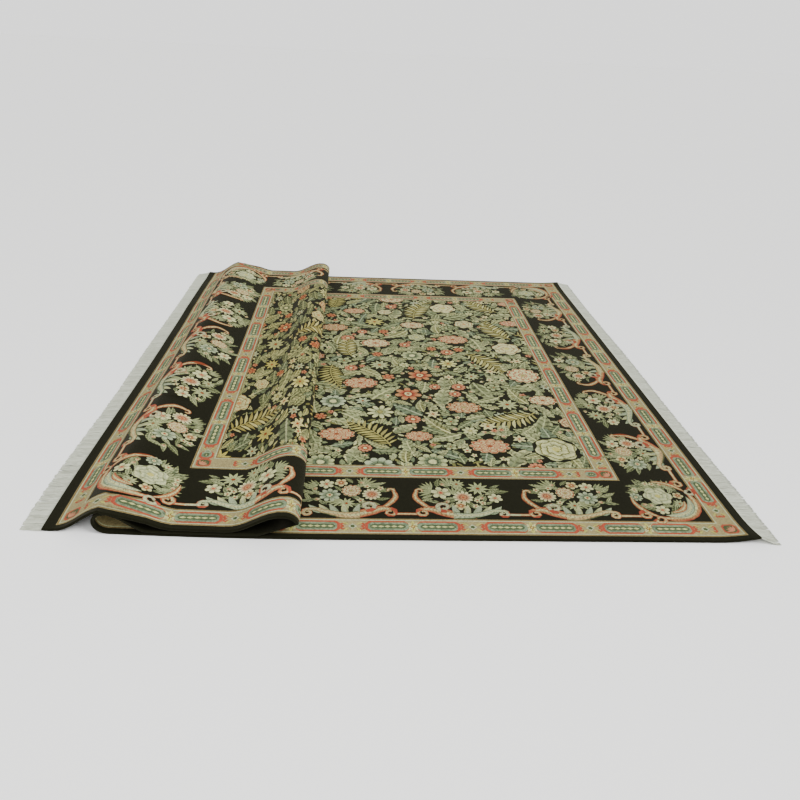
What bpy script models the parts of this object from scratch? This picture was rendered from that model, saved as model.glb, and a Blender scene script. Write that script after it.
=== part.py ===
"""A hand-knotted Pakistani rug, about 9 by 12 feet, lying on a floor with one S-shaped fold.

The rug is one thick cloth. From its right end it lies flat, pile up, as far as the left fold.
There it turns back over itself, runs to the right fold, turns again, and comes back over the
left fold down to the floor, where its left end lies. Both ends have a fringe of cotton warps.

Metres, +Z up. X runs along the warps from the left end to the right end, and Y across the
rug. The origin is on the floor, under the middle of the whole.
"""

import random
from collections import namedtuple

import bmesh
import bpy
import numpy as np

# The cloth. Laid flat it is about 3.70 m long, which is what the section below uses up.
RUG_WIDTH = 2.74
THICKNESS = 0.0095
LAYER_GAP = 0.0010         # air between the two lower layers, where they lie on each other
CREST_GAP = 0.0020         # air where the top layer rides over the left fold

# The half-ellipses of the two folds, on the cloth's middle surface.
LEFT_FOLD_REACH = 0.045
RIGHT_FOLD_REACH = 0.048

# Horizontal lengths of the slopes between a fold and the flat cloth beside it.
INNER_SLOPE = 0.130        # middle layer, from the left fold down to the layer below
RIGHT_SLOPE = 0.180        # top layer, from the right fold's crest down to the trough
LEFT_SLOPE = 0.215         # top layer, from the trough up to the left crest

# How the folds wander across the width, a row for each section. Distances run from the right
# end. Heights run from the floor to the top of the pile: at the crest over the left fold, at
# the crest of the right fold, and in the trough between them.
Section = namedtuple(
    "Section",
    "across left_fold left_height right_fold right_height trough landing left_end")
SECTIONS = (
    Section(0.00, 2.171, 0.093, 1.518, 0.093, 0.031, 2.300, 2.331),
    Section(0.25, 2.174, 0.090, 1.525, 0.096, 0.032, 2.305, 2.334),
    Section(0.50, 2.168, 0.093, 1.532, 0.091, 0.033, 2.298, 2.329),
    Section(0.75, 2.171, 0.096, 1.537, 0.095, 0.035, 2.303, 2.333),
    Section(1.00, 2.165, 0.093, 1.543, 0.097, 0.038, 2.300, 2.329),
)

# The folded part is drawn in more and more towards the left end, at both long edges.
INSET_START = 1.40
NEAR_INSET = 0.035
FAR_INSET = 0.014

# Three of the corners curl up off the floor: x from the right end, y from the near edge.
Curl = namedtuple("Curl", "x y height")
CURLS = (
    Curl(0.0, 0.0, 0.018),
    Curl(0.0, RUG_WIDTH, 0.009),
    Curl(-SECTIONS[-1].left_end, RUG_WIDTH - FAR_INSET, 0.010),
)
CURL_RADIUS = 0.150

# Places of the mesh's lines: across the width, and steps in each run along the length.
EDGE_LINES = (0.0, 0.035, 0.075, 0.140)
INNER_LINE_COUNT = 11
CURL_LINES = (0.0, 0.035, 0.075, 0.140, 0.500, 1.250)
BOTTOM_STEPS = 3
MIDDLE_STEPS = 2
FOLD_STEPS = 10
SLOPE_STEPS = 8

# Fringe: cotton warps in flat locks, out of a narrow woven strip at each end of the rug.
LOCK_COUNT = 150
FRINGE_LENGTH = 0.070
STRIP_WIDTH = 0.006
STRIP_HEIGHT = 0.0035
STRIP_GAP = 0.0003
LOCK_REACH = (0.45, 1.0)     # rings of a lock, as shares of its length from the strip
LOCK_WIDTH = (0.52, 0.34)    # its width there, as shares of the pitch
LOCK_HEIGHT = (0.85, 0.55)   # its height there, as shares of the strip's
LOCK_CORNERS = ((-0.5, 0.0), (0.5, 0.0), (0.5, 1.0), (-0.5, 1.0))     # (across, up) of a ring
LOCK_SWAY = 0.0030
LOCK_RAGGED = 0.005
FRINGE_SEED = 7

RUG_COLOUR = (0.11, 0.10, 0.065, 1.0)
FRINGE_COLOUR = (0.62, 0.62, 0.54, 1.0)
WOOL_ROUGHNESS = 0.95
COTTON_ROUGHNESS = 0.90


def smooth_step(share):
    """Rise from 0 to 1 as half a cosine wave, level at both ends."""
    share = np.clip(share, 0.0, 1.0)
    return 0.5 - 0.5 * np.cos(np.pi * share)


def section_at(across):
    """The fold's sizes at a share of the width, on a smooth curve through the rows."""
    rows = np.array(SECTIONS)
    sizes = [np.interp(across, rows[:, 0], rows[:, 0])]
    for column in rows.T[1:]:
        curve = np.polyfit(rows[:, 0], column, len(SECTIONS) - 1)
        sizes.append(np.polyval(curve, across))
    return Section(*sizes)


def level_run(start, end, height, steps):
    """A straight level run."""
    x = np.linspace(start, end, steps + 1)
    return x, np.full_like(x, height)


def slope_run(start, end):
    """An S-shaped slope between two (x, z) points, level at both."""
    share = np.linspace(0.0, 1.0, SLOPE_STEPS + 1)
    x = start[0] + (end[0] - start[0]) * share
    return x, start[1] + (end[1] - start[1]) * smooth_step(share)


def fold_run(low, high, reach):
    """Half an ellipse from the low point round to the high one right above it."""
    angle = np.linspace(-0.5 * np.pi, 0.5 * np.pi, FOLD_STEPS + 1)
    middle = 0.5 * (low[1] + high[1])
    x = low[0] + reach * np.cos(angle)
    return x, middle + 0.5 * (high[1] - low[1]) * np.sin(angle)


def section_line(across):
    """The middle line of the folded cloth at one share of the width, as x and z.

    x is 0 at the right end and falls towards the left.
    """
    size = section_at(across)
    half = 0.5 * THICKNESS
    bottom = half
    middle = bottom + THICKNESS + LAYER_GAP
    top = size.trough - half
    left_x = -size.left_fold + half + LEFT_FOLD_REACH
    right_x = -size.right_fold - half - RIGHT_FOLD_REACH
    left_crest = size.left_height - half
    inner_crest = left_crest - THICKNESS - CREST_GAP
    right_crest = size.right_height - half

    flat = -np.array(CURL_LINES)
    runs = [
        (flat, np.full_like(flat, bottom)),
        level_run(flat[-1], left_x, bottom, BOTTOM_STEPS),
        fold_run((left_x, bottom), (left_x, inner_crest), -LEFT_FOLD_REACH),
        slope_run((left_x, inner_crest), (left_x + INNER_SLOPE, middle)),
        level_run(left_x + INNER_SLOPE, right_x, middle, MIDDLE_STEPS),
        fold_run((right_x, middle), (right_x, right_crest), RIGHT_FOLD_REACH),
        slope_run((right_x, right_crest), (right_x - RIGHT_SLOPE, top)),
        level_run(right_x - RIGHT_SLOPE, left_x + LEFT_SLOPE, top, 1),
        slope_run((left_x + LEFT_SLOPE, top), (left_x, left_crest)),
        slope_run((left_x, left_crest), (-size.landing, bottom)),
        level_run(-size.landing, -size.left_end, bottom, 1),
    ]
    x = np.concatenate([runs[0][0]] + [run[0][1:] for run in runs[1:]])
    z = np.concatenate([runs[0][1]] + [run[1][1:] for run in runs[1:]])
    return x, z


def across_to_y(x, across):
    """y of a point of the cloth, whose folded part is drawn in at both long edges.

    The inset grows with the square of the distance from where it starts.
    """
    share = np.clip((-x - INSET_START) / (SECTIONS[0].left_end - INSET_START), 0.0, None)
    near = NEAR_INSET * share ** 2
    far = RUG_WIDTH - FAR_INSET * share ** 2
    return near + (far - near) * across


def corner_lift(x, y):
    """How far the curled corners lift a point of the cloth off the floor."""
    lift = 0.0
    for curl in CURLS:
        distance = np.hypot(x - curl.x, y - curl.y)
        lift = lift + curl.height * np.clip(1.0 - distance / CURL_RADIUS, 0.0, 1.0) ** 2
    return lift


def make_material(name, colour, roughness):
    """A plain material in the piece's own colour."""
    material = bpy.data.materials.new(name)
    material.use_nodes = True
    shader = material.node_tree.nodes["Principled BSDF"]
    shader.inputs["Base Color"].default_value = colour
    shader.inputs["Roughness"].default_value = roughness
    shader.inputs["Metallic"].default_value = 0.0
    return material


def lines_across():
    """Shares of the width where the mesh has a line: close at the edges, even between."""
    edge = np.array(EDGE_LINES) / RUG_WIDTH
    inner = np.linspace(edge[-1], 1.0 - edge[-1], INNER_LINE_COUNT)
    return np.concatenate([edge[:-1], inner, 1.0 - edge[-2::-1]])


def build_rug(collection):
    """The folded cloth: an open loft through its sections, thickened to both sides.

    The corners are curled up after that, straight up, so that the end's face stays upright.
    """
    columns = []
    for across in lines_across():
        x, z = section_line(across)
        columns.append(np.stack([x, across_to_y(x, across), z], axis=1))
    points = np.stack(columns)
    line_count, row_count = points.shape[:2]

    number = np.arange(line_count * row_count).reshape(line_count, row_count)
    corners = (number[:-1, :-1], number[:-1, 1:], number[1:, 1:], number[1:, :-1])
    quads = np.stack(corners, axis=-1).reshape(-1, 4)[:, ::-1]
    sheet = bpy.data.meshes.new("rug middle")
    sheet.from_pydata(points.reshape(-1, 3).tolist(), [], quads.tolist())
    sheet.materials.append(make_material("wool pile", RUG_COLOUR, WOOL_ROUGHNESS))
    rug = bpy.data.objects.new("rug", sheet)
    collection.objects.link(rug)
    solidify = rug.modifiers.new("thickness", "SOLIDIFY")
    solidify.thickness = THICKNESS
    solidify.offset = 0.0
    solidify.use_even_offset = True

    evaluated = rug.evaluated_get(bpy.context.evaluated_depsgraph_get())
    mesh = bpy.data.meshes.new_from_object(evaluated)
    rug.modifiers.clear()
    rug.data = mesh
    bpy.data.meshes.remove(sheet)
    for vert in mesh.vertices:
        vert.co.z += corner_lift(vert.co.x, vert.co.y)
    mesh.shade_smooth()
    return rug


def build_fringe(collection, name, outward, end_x, material, rng):
    """A fringe: a strip along the rug's end, and locks of warps drawn out of its side.

    outward is +1 at the right end and -1 at the left one. end_x gives the rug's end as a
    function of the share of the width.
    """
    across = np.linspace(0.0, 1.0, LOCK_COUNT + 1)
    end = np.array([end_x(share) for share in across])
    y = across_to_y(end, across)
    lift = corner_lift(end, y)
    inner = end + outward * STRIP_GAP
    outer = inner + outward * STRIP_WIDTH

    mesh = bpy.data.meshes.new(name)
    body = bmesh.new()
    rings = []
    for i in range(LOCK_COUNT + 1):
        ring = [(inner[i], 0.0), (outer[i], 0.0), (outer[i], STRIP_HEIGHT),
                (inner[i], STRIP_HEIGHT)]
        rings.append([body.verts.new((x, y[i], z + lift[i])) for x, z in ring])
    body.faces.new(rings[0])
    body.faces.new(rings[-1][::-1])
    roots = []
    for near, far in zip(rings[:-1], rings[1:]):
        for side in range(4):
            following = (side + 1) % 4
            face = body.faces.new((near[side], far[side], far[following], near[following]))
            if side == 1:
                roots.append(face)

    pitch = RUG_WIDTH / LOCK_COUNT
    lock_rings = list(zip(LOCK_REACH, LOCK_WIDTH, LOCK_HEIGHT))
    sway = 0.0
    for root in roots:
        sway = 0.7 * sway + 0.5 * rng.uniform(-LOCK_SWAY, LOCK_SWAY)
        length = FRINGE_LENGTH + rng.uniform(-LOCK_RAGGED, LOCK_RAGGED)
        centre = root.calc_center_median()
        floor = min(vert.co.z for vert in root.verts)
        face = root
        for reach, width, height in lock_rings:
            drawn = bmesh.ops.extrude_discrete_faces(body, faces=[face])
            face = drawn["faces"][0]
            for vert, (side, share) in zip(face.verts, LOCK_CORNERS):
                vert.co.x = centre.x + outward * length * reach
                vert.co.y = centre.y + side * width * pitch + sway * reach ** 2
                vert.co.z = floor * (1.0 - reach) + share * height * STRIP_HEIGHT
    bmesh.ops.recalc_face_normals(body, faces=body.faces)
    body.to_mesh(mesh)
    body.free()
    mesh.materials.append(material)
    fringe = bpy.data.objects.new(name, mesh)
    collection.objects.link(fringe)
    return fringe


def centre_on_floor(objects):
    """Move the meshes so that the origin is on the floor under the middle of the whole."""
    reach = np.array([vert.co[:] for item in objects for vert in item.data.vertices])
    middle = 0.5 * (reach.min(axis=0) + reach.max(axis=0))
    for item in objects:
        for vert in item.data.vertices:
            vert.co.x -= middle[0]
            vert.co.y -= middle[1]


def build():
    """Clear the scene and make the rug and its two fringes."""
    for item in list(bpy.data.objects):
        bpy.data.objects.remove(item)
    collection = bpy.data.collections.new("pakistani rug")
    bpy.context.scene.collection.children.link(collection)
    rug = build_rug(collection)
    cotton = make_material("cotton warps", FRINGE_COLOUR, COTTON_ROUGHNESS)
    rng = random.Random(FRINGE_SEED)
    right = build_fringe(collection, "fringe_right", 1.0, lambda across: 0.0, cotton, rng)
    left = build_fringe(collection, "fringe_left", -1.0,
                        lambda across: -section_at(across).left_end, cotton, rng)
    centre_on_floor([rug, right, left])


build()
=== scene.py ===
"""A hand-knotted Pakistani floral rug, folded once in an S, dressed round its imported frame.

Metres and +Z up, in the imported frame's own place. The design is drawn on the flat cloth in
cloth coordinates: u runs from the right end to the left end, v from the near edge to the far.
"""

import math
from collections import namedtuple

import bpy
import numpy as np
from mathutils import Matrix, Vector
from mathutils.geometry import delaunay_2d_cdt


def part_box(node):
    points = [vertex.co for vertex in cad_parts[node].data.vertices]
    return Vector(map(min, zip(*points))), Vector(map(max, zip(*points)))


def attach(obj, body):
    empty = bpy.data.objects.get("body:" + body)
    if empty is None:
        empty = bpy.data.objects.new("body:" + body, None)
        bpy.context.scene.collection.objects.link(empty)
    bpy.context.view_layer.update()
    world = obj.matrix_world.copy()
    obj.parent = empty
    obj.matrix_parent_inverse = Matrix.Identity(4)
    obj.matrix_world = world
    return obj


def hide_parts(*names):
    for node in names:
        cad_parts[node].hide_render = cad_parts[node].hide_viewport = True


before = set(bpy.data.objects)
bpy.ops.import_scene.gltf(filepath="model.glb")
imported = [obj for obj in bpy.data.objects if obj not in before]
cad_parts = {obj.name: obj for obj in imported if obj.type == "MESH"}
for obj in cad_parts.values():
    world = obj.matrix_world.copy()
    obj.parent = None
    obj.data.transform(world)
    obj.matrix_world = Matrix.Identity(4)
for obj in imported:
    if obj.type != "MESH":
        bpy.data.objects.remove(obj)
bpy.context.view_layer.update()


# ------------------------------------------------------------------------------------------
# The rug, 1: how the cloth lies. One thick cloth of wool pile knotted on cotton warps. From its
# right end it lies pile up to the left fold, turns back over itself to the right fold, turns
# again and comes back over the left fold to the floor, where its left end lies.

RUG_WIDTH = 2.74
RUG_LENGTH = 3.70          # laid flat
THICKNESS = 0.0095
LAYER_GAP = 0.0010
CREST_GAP = 0.0020
LEFT_FOLD_REACH = 0.045
RIGHT_FOLD_REACH = 0.048
INNER_SLOPE = 0.130
RIGHT_SLOPE = 0.180
LEFT_SLOPE = 0.215
FLAT_END = 1.25

# How the folds wander across the width; all distances run from the right end.
Section = namedtuple(
    "Section",
    "across left_fold left_height right_fold right_height trough landing left_end")
SECTIONS = (
    Section(0.00, 2.171, 0.093, 1.518, 0.093, 0.031, 2.300, 2.331),
    Section(0.25, 2.174, 0.090, 1.525, 0.096, 0.032, 2.305, 2.334),
    Section(0.50, 2.168, 0.093, 1.532, 0.091, 0.033, 2.298, 2.329),
    Section(0.75, 2.171, 0.096, 1.537, 0.095, 0.035, 2.303, 2.333),
    Section(1.00, 2.165, 0.093, 1.543, 0.097, 0.038, 2.300, 2.329),
)

# The folded part is drawn in towards the left end, at both long edges.
INSET_START = 1.40
NEAR_INSET = 0.035
FAR_INSET = 0.014

# Corners that curl up off the floor: x from the right end, y from the near edge.
Curl = namedtuple("Curl", "x y height")
CURLS = (
    Curl(0.0, 0.0, 0.018),
    Curl(0.0, RUG_WIDTH, 0.009),
    Curl(-SECTIONS[-1].left_end, RUG_WIDTH - FAR_INSET, 0.010),
)
CURL_RADIUS = 0.150

# Soft ridges that the handling has left: place on the cloth, half sizes, height, and the angle
# of the ridge's long axis to u.
Ridge = namedtuple("Ridge", "u v long short height angle")
RIDGES = (
    Ridge(3.60, 1.62, 0.13, 0.050, 0.0060, 0.20),
    Ridge(3.62, 2.10, 0.12, 0.045, 0.0055, -0.15),
    Ridge(3.63, 2.44, 0.10, 0.040, 0.0040, 0.30),
    Ridge(3.05, 0.95, 0.16, 0.120, 0.0022, 0.50),
    Ridge(3.02, 1.75, 0.18, 0.110, 0.0020, -0.40),
    Ridge(0.62, 2.20, 0.55, 0.140, 0.0016, 0.10),
    Ridge(0.75, 0.60, 0.50, 0.120, 0.0012, -0.20),
    Ridge(1.20, 1.40, 0.14, 0.600, 0.0014, 0.05),
)

# The right end of the rug stands here in the frame, and its near edge there.
RIGHT_END_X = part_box("rug")[1].x
NEAR_EDGE_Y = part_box("rug")[0].y


def smooth_step(share):
    """Rise from 0 to 1 as half a cosine wave, level at both ends."""
    share = np.clip(share, 0.0, 1.0)
    return 0.5 - 0.5 * np.cos(np.pi * share)


def section_at(across):
    """The fold's sizes at a share of the width, on a quartic through the table's rows."""
    rows = np.array(SECTIONS)
    sizes = [across]
    for column in rows.T[1:]:
        sizes.append(np.polyval(np.polyfit(rows[:, 0], column, len(SECTIONS) - 1), across))
    return Section(*sizes)


def section_line(across):
    """The cloth's middle line at a share of the width, as x (0 at the right end) and z.

    Level runs are straight, slopes are half cosine waves, and folds are half ellipses.
    """
    size = section_at(across)
    half = 0.5 * THICKNESS
    middle = half + THICKNESS + LAYER_GAP
    top = size.trough - half
    left_x = -size.left_fold + half + LEFT_FOLD_REACH
    right_x = -size.right_fold - half - RIGHT_FOLD_REACH
    left_crest = size.left_height - half
    inner_crest = left_crest - THICKNESS - CREST_GAP
    right_crest = size.right_height - half

    def run(start, end, steps):
        share = np.linspace(0.0, 1.0, steps + 1)[1:]
        rise = smooth_step(share)
        return (start[0] + (end[0] - start[0]) * share, start[1] + (end[1] - start[1]) * rise)

    def fold(low, high, reach, steps=24):
        angle = np.linspace(-0.5 * np.pi, 0.5 * np.pi, steps + 1)[1:]
        lift = 0.5 + 0.5 * np.sin(angle)
        return low[0] + reach * np.cos(angle), low[1] + (high[1] - low[1]) * lift

    runs = [
        (np.zeros(1), np.full(1, half)),
        run((0.0, half), (-FLAT_END, half), 25),
        run((-FLAT_END, half), (left_x, half), 20),
        fold((left_x, half), (left_x, inner_crest), -LEFT_FOLD_REACH),
        run((left_x, inner_crest), (left_x + INNER_SLOPE, middle), 20),
        run((left_x + INNER_SLOPE, middle), (right_x, middle), 12),
        fold((right_x, middle), (right_x, right_crest), RIGHT_FOLD_REACH),
        run((right_x, right_crest), (right_x - RIGHT_SLOPE, top), 20),
        run((right_x - RIGHT_SLOPE, top), (left_x + LEFT_SLOPE, top), 8),
        run((left_x + LEFT_SLOPE, top), (left_x, left_crest), 20),
        run((left_x, left_crest), (-size.landing, half), 20),
        run((-size.landing, half), (-size.left_end, half), 4),
    ]
    return np.concatenate([r[0] for r in runs]), np.concatenate([r[1] for r in runs])


# The table of section lines: a row for each station across the rug.
STATIONS = np.linspace(0.0, 1.0, 41)
MIDDLE_ROW = len(STATIONS) // 2
lines = np.array([section_line(across) for across in STATIONS])
line_x, line_z = lines[:, 0], lines[:, 1]
run_x, run_z = np.gradient(line_x, axis=1), np.gradient(line_z, axis=1)
run_size = np.hypot(run_x, run_z)
pile_x, pile_z = run_z / run_size, -run_x / run_size
nominal = np.hypot(np.diff(line_x[MIDDLE_ROW]), np.diff(line_z[MIDDLE_ROW]))
line_u = np.concatenate([[0.0], np.cumsum(nominal)])
line_u *= RUG_LENGTH / line_u[-1]


def cloth(u, v, side):
    """Where a point of the cloth lies: (x, y, z) from u, v and side.

    side is +1 on the pile, -1 on the back and 0 half way. x and z come from the table of
    section lines, read between its rows and columns; the pile's direction is at right angles
    to the line. y is drawn in with the square of the distance past INSET_START. Curled
    corners add height * (1 - distance / radius)^2, and ridges a bell curve of two half sizes.
    """
    u, v, side = np.broadcast_arrays(*np.atleast_1d(u, v, side))
    across = np.clip(v / RUG_WIDTH, 0.0, 1.0) * (len(STATIONS) - 1)
    row = np.minimum(across.astype(int), len(STATIONS) - 2)
    row_share = across - row
    along = np.interp(u, line_u, np.arange(len(line_u)))
    column = np.minimum(along.astype(int), len(line_u) - 2)
    share = along - column

    def read(table):
        near = table[row, column] * (1 - share) + table[row, column + 1] * share
        far = table[row + 1, column] * (1 - share) + table[row + 1, column + 1] * share
        return near * (1 - row_share) + far * row_share

    offset = 0.5 * THICKNESS * side
    x, z = read(line_x), read(line_z)
    inset = np.clip((-x - INSET_START) / (SECTIONS[0].left_end - INSET_START), 0.0, None)
    y = NEAR_INSET * inset ** 2 * (1 - v / RUG_WIDTH) + v
    y = y - FAR_INSET * inset ** 2 * v / RUG_WIDTH
    x, z = x + offset * read(pile_x), z + offset * read(pile_z)
    for curl in CURLS:
        distance = np.hypot(x - curl.x, y - curl.y)
        z = z + curl.height * np.clip(1.0 - distance / CURL_RADIUS, 0.0, 1.0) ** 2
    for ridge in RIDGES:
        cos, sin = math.cos(ridge.angle), math.sin(ridge.angle)
        du, dv = u - ridge.u, v - ridge.v
        long = (cos * du + sin * dv) / ridge.long
        short = (cos * dv - sin * du) / ridge.short
        z = z + ridge.height * np.exp(-(long ** 2 + short ** 2))
    return np.stack([x + RIGHT_END_X, y + NEAR_EDGE_Y, z], axis=-1)


# ------------------------------------------------------------------------------------------
# The rug, 2: the shapes that the knots draw. Each is an outline in its own small frame, and a
# placing, a 3x3 matrix, puts it on the flat cloth. The dyes are given as a dyer's sample reads.

# What share of the light a cut pile gives back against its flat yarn, by red, green and blue.
PILE_DEPTH = np.array([0.62, 0.68, 0.59])


def dye(red, green, blue):
    """A dye's colour in the pile, in linear light, from the sRGB values of its yarn."""
    value = np.array([red, green, blue]) / 255.0
    flat = np.where(value < 0.04045, value / 12.92, ((value + 0.055) / 1.055) ** 2.4)
    return PILE_DEPTH * flat


BLACK = dye(25, 24, 13)
BEIGE = dye(165, 146, 109)
GOLD_BROWN = dye(120, 84, 44)
ROSE = dye(179, 79, 62)
RUST = dye(150, 66, 44)
PINK = dye(204, 132, 104)
PEACH = dye(214, 176, 130)
SALMON = dye(198, 140, 98)
CREAM = dye(220, 211, 160)
IVORY = dye(228, 220, 174)
YELLOW = dye(200, 186, 112)
MUSTARD = dye(162, 148, 92)
OLIVE = dye(132, 124, 74)
SAGE = dye(140, 142, 104)
PALE_SAGE = dye(186, 185, 140)
DARK_SAGE = dye(82, 88, 62)
MOSS = dye(84, 94, 70)
GREY_GREEN = dye(108, 116, 92)
SLATE = dye(94, 104, 84)
BLUE_GREY = dye(128, 138, 114)
PALE_BLUE = dye(186, 189, 160)

# A shape of the design: its outline on the flat cloth, the dyes at its root, towards its end and
# for its lines, how its own frame is placed, bent and widened, what is drawn in it and how many
# times, and its level: 0 is a main shape, 1 a detail left out where the cloth is hidden. A
# ribbon has its path as well: points along its middle and the half width at each.
Shape = namedtuple("Shape", "outline root end line placing bend wide figure count level path")
PLAIN, LEAF, PETAL, SCALES, RAYS, ROLLED, HATCHED, RIBBON = range(8)
design = []        # bottom first
ON_CLOTH = np.eye(3)


def placed(placing, x, y, turn=0.0, size=1.0):
    """A placing inside another: sized, turned, then moved to (x, y)."""
    cos, sin = size * math.cos(turn), size * math.sin(turn)
    return placing @ np.array([[cos, -sin, x], [sin, cos, y], [0.0, 0.0, 1.0]])


def draw(placing, outline, root, end=None, line=None, figure=PLAIN, count=1, level=0, bend=0.0,
         wide=1.0):
    """Adds an outline, given in its own small frame, to the design."""
    flat = outline @ placing[:2, :2].T + placing[:2, 2]
    end = root if end is None else end
    line = end if line is None else line
    design.append(Shape(flat, root, end, line, placing, bend, wide, figure, count, level, None))


def lobed(lobes, depth, steps=4, size=1.0, turn=0.0):
    """A rosette's outline: radius = size * (1 - depth * (1 - |cos(lobes * angle / 2)|^0.8))."""
    angle = np.linspace(0.0, 2 * np.pi, lobes * steps, endpoint=False)
    radius = size * (1 - depth * (1 - np.abs(np.cos(0.5 * lobes * angle)) ** 0.8))
    return radius[:, None] * np.stack([np.cos(angle + turn), np.sin(angle + turn)], axis=1)


def disc(corners, size=1.0):
    """An even polygon with that many corners."""
    angle = 2 * np.pi * (np.arange(corners) + 0.5) / corners
    return size * np.stack([np.cos(angle), np.sin(angle)], axis=1)


def blade(width, bend=0.0, steps=5, lobes=0):
    """A leaf or petal from (0, 0) to (0, 1): half width = width * sin(pi * t^0.85)^0.8.

    With lobes it is cut in between them: * (0.45 + 0.55 * |sin(pi * (lobes * t + 0.15))|^0.7).
    It leans sideways by bend * t^2.
    """
    t = np.linspace(0.0, 1.0, max(steps, 3 * lobes + 1) + 1)
    half = width * np.sin(np.pi * t ** 0.85) ** 0.8
    if lobes:
        half = half * (0.45 + 0.55 * np.abs(np.sin(np.pi * (lobes * t + 0.15))) ** 0.7)
    middle = bend * t ** 2
    right, left = np.stack([middle + half, t], axis=1), np.stack([middle - half, t], axis=1)
    return np.concatenate([right, left[-2:0:-1]])


def petal(placing, width, bend, steps, root, end, line, figure=PETAL, count=1, level=0, lobes=0):
    """Draws a blade, in which the figure follows the blade's own bend and width."""
    draw(placing, blade(width, bend, steps, lobes), root, end, line, figure, count, level, bend,
         width)


def ribbon(placing, path, width, body, light=None, edge=None, flutes=0.0, level=0):
    """A band along a path, each point moved to both sides by half the width there.

    It has a light streak along its middle, edges of another dye, and slanting flutes.
    """
    path, half = np.asarray(path), 0.5 * np.broadcast_to(width, len(path))
    run = np.gradient(path, axis=0)
    run /= np.hypot(run[:, 0], run[:, 1])[:, None]
    aside = np.stack([-run[:, 1], run[:, 0]], axis=1) * half[:, None]
    draw(placing, np.concatenate([path + aside, (path - aside)[::-1]]), body,
         body if light is None else light, body if edge is None else edge, RIBBON, flutes, level)
    flat = path @ placing[:2, :2].T + placing[:2, 2]
    design[-1] = design[-1]._replace(path=np.column_stack([flat, half]))


def peony(placing, fill=PINK, edge=ROSE, heart=ROSE):
    """A peony of many scale petals in rings, each with a line round it, and a round heart."""
    draw(placing, lobed(11, 0.20), fill, IVORY, edge, SCALES, 11)
    draw(placing, disc(6, 0.15), heart, level=1)


def rose(placing, rim=IVORY, fill=PALE_SAGE, shade=SALMON, heart=SALMON):
    """A rose: broad petals rolled round each other, with shaded edges, and a small heart."""
    draw(placing, lobed(6, 0.24, 5), fill, rim, shade, ROLLED, 6)
    draw(placing, lobed(5, 0.12, 2, 0.20, 0.4), heart, level=1)


def rosette(placing, rim=PALE_BLUE, fill=BLUE_GREY, line=GREY_GREEN, heart=CREAM):
    """A scalloped rosette: a wide scalloped rim, a darker one inside it, and a pale heart."""
    draw(placing, lobed(10, 0.20, 4), fill, rim, line, RAYS, 10)
    draw(placing, lobed(8, 0.22, 3, 0.60, 0.3), line, fill, heart, RAYS, 8, 1)


def daisy(placing, petals=8, outer=CREAM, inner=YELLOW, heart=MUSTARD, eye=RUST, depth=0.42):
    """A daisy with separate round-ended petals, a ring at their roots, and a small eye."""
    draw(placing, lobed(petals, depth, 4), inner, outer, heart, RAYS, petals)
    draw(placing, disc(5, 0.15), eye, level=1)


def star(placing, petals=7, outer=PINK, inner=ROSE, width=0.2):
    """A flower of pointed petals, each with a streak at its root, and a small eye."""
    for angle in 2 * np.pi * np.arange(petals) / petals:
        petal(placed(placing, 0.0, 0.0, angle), width, 0.08, 4, outer, outer, inner)
    draw(placing, disc(6, 0.18), RUST, level=1)


def floret(placing, petals=5, outer=CREAM, heart=ROSE):
    """A small flower: a few round lobes with one dot of a heart."""
    draw(placing, lobed(petals, 0.4, 2), outer, outer, heart, RAYS, petals)


def bud(placing, fill=PINK, green=SAGE, size=1.0):
    """A bud: a drop of petals in a cup of two green sepals."""
    placing = placed(placing, 0.0, 0.0, 0.0, size)
    petal(placing, 0.34, 0.0, 4, fill, CREAM, ROSE)
    for side in (1.0, -1.0):
        sepal = placed(placing, 0.0, -0.15, 0.45 * side, 0.75)
        draw(sepal, blade(0.2, -0.2 * side, 3), green, level=1)


def leaf(placing, light=SAGE, dark=GREY_GREEN, rib=PALE_SAGE, width=0.26, bend=0.15, lobes=0,
         veins=5):
    """A leaf with a pale midrib and slanting veins, one half of it in shade."""
    petal(placing, width, bend, 6, dark, light, rib, LEAF, veins, 0, lobes)


def sprig(placing, green=SAGE, width=0.28, root=GREY_GREEN):
    """A small leaf, darker towards its root, with a streak along it."""
    petal(placing, width, 0.12, 3, root, green, green)


def fern(placing, pairs=11, light=MUSTARD, pale=YELLOW, bend=0.5):
    """A curved frond on black: thin leaflets in pairs, the longest a third of the way along."""
    t = np.linspace(0.0, 1.0, 9)
    draw(placing, blade(0.29, bend, 6), BLACK)
    for i, share in enumerate(np.linspace(0.08, 0.97, pairs)):
        lean = math.atan2(2 * bend * share, 1.0)
        size = 0.30 * math.sin(math.pi * (0.12 + 0.82 * share)) ** 0.7
        for side in (-1.0, 1.0):
            turn = -lean + side * (0.95 - 0.35 * share)
            dyed = pale if (i + (side > 0)) % 2 else light
            petal(placed(placing, bend * share ** 2, share, turn, size), 0.12, -0.25 * side, 3,
                  light, dyed, dyed)
    ribbon(placing, np.stack([bend * t ** 2, t], axis=1), 0.03 - 0.015 * t, light, level=1)


# The field: flowers, fronds and leaves strewn close together on black, the larger ones first.
# Each finds the emptiest of a few places tried. A kind of motif is a tuple: the function that
# draws it, and what that takes after the placing.

FIELD = np.array([[0.441, 0.429], [RUG_LENGTH - 0.441, RUG_WIDTH - 0.429]])
FIELD_MARGIN = 0.01
FIELD_SEED = 41
MOST_ROOM = 0.2                  # free room is counted up to this far
NEAR = 0.25                      # a motif changes the free room up to this far away

# From here on, on top of the fold, the field is drawn out across the rug, in warmer, darker
# dyes that are painted shade on the fold's top, and its leaves lean one way. Up to here its
# peonies are broader along the rug than across it.
ON_TOP = 2.70
DRAWN_OUT = np.diag([0.78, 1.20, 1.0])
PAINTED_SHADE_ON_TOP = np.array([0.96, 0.88, 0.74])
LEAN, LEAN_SPREAD = 0.45, 0.50
BROAD = np.diag([1.30, 0.88, 1.0])


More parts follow.
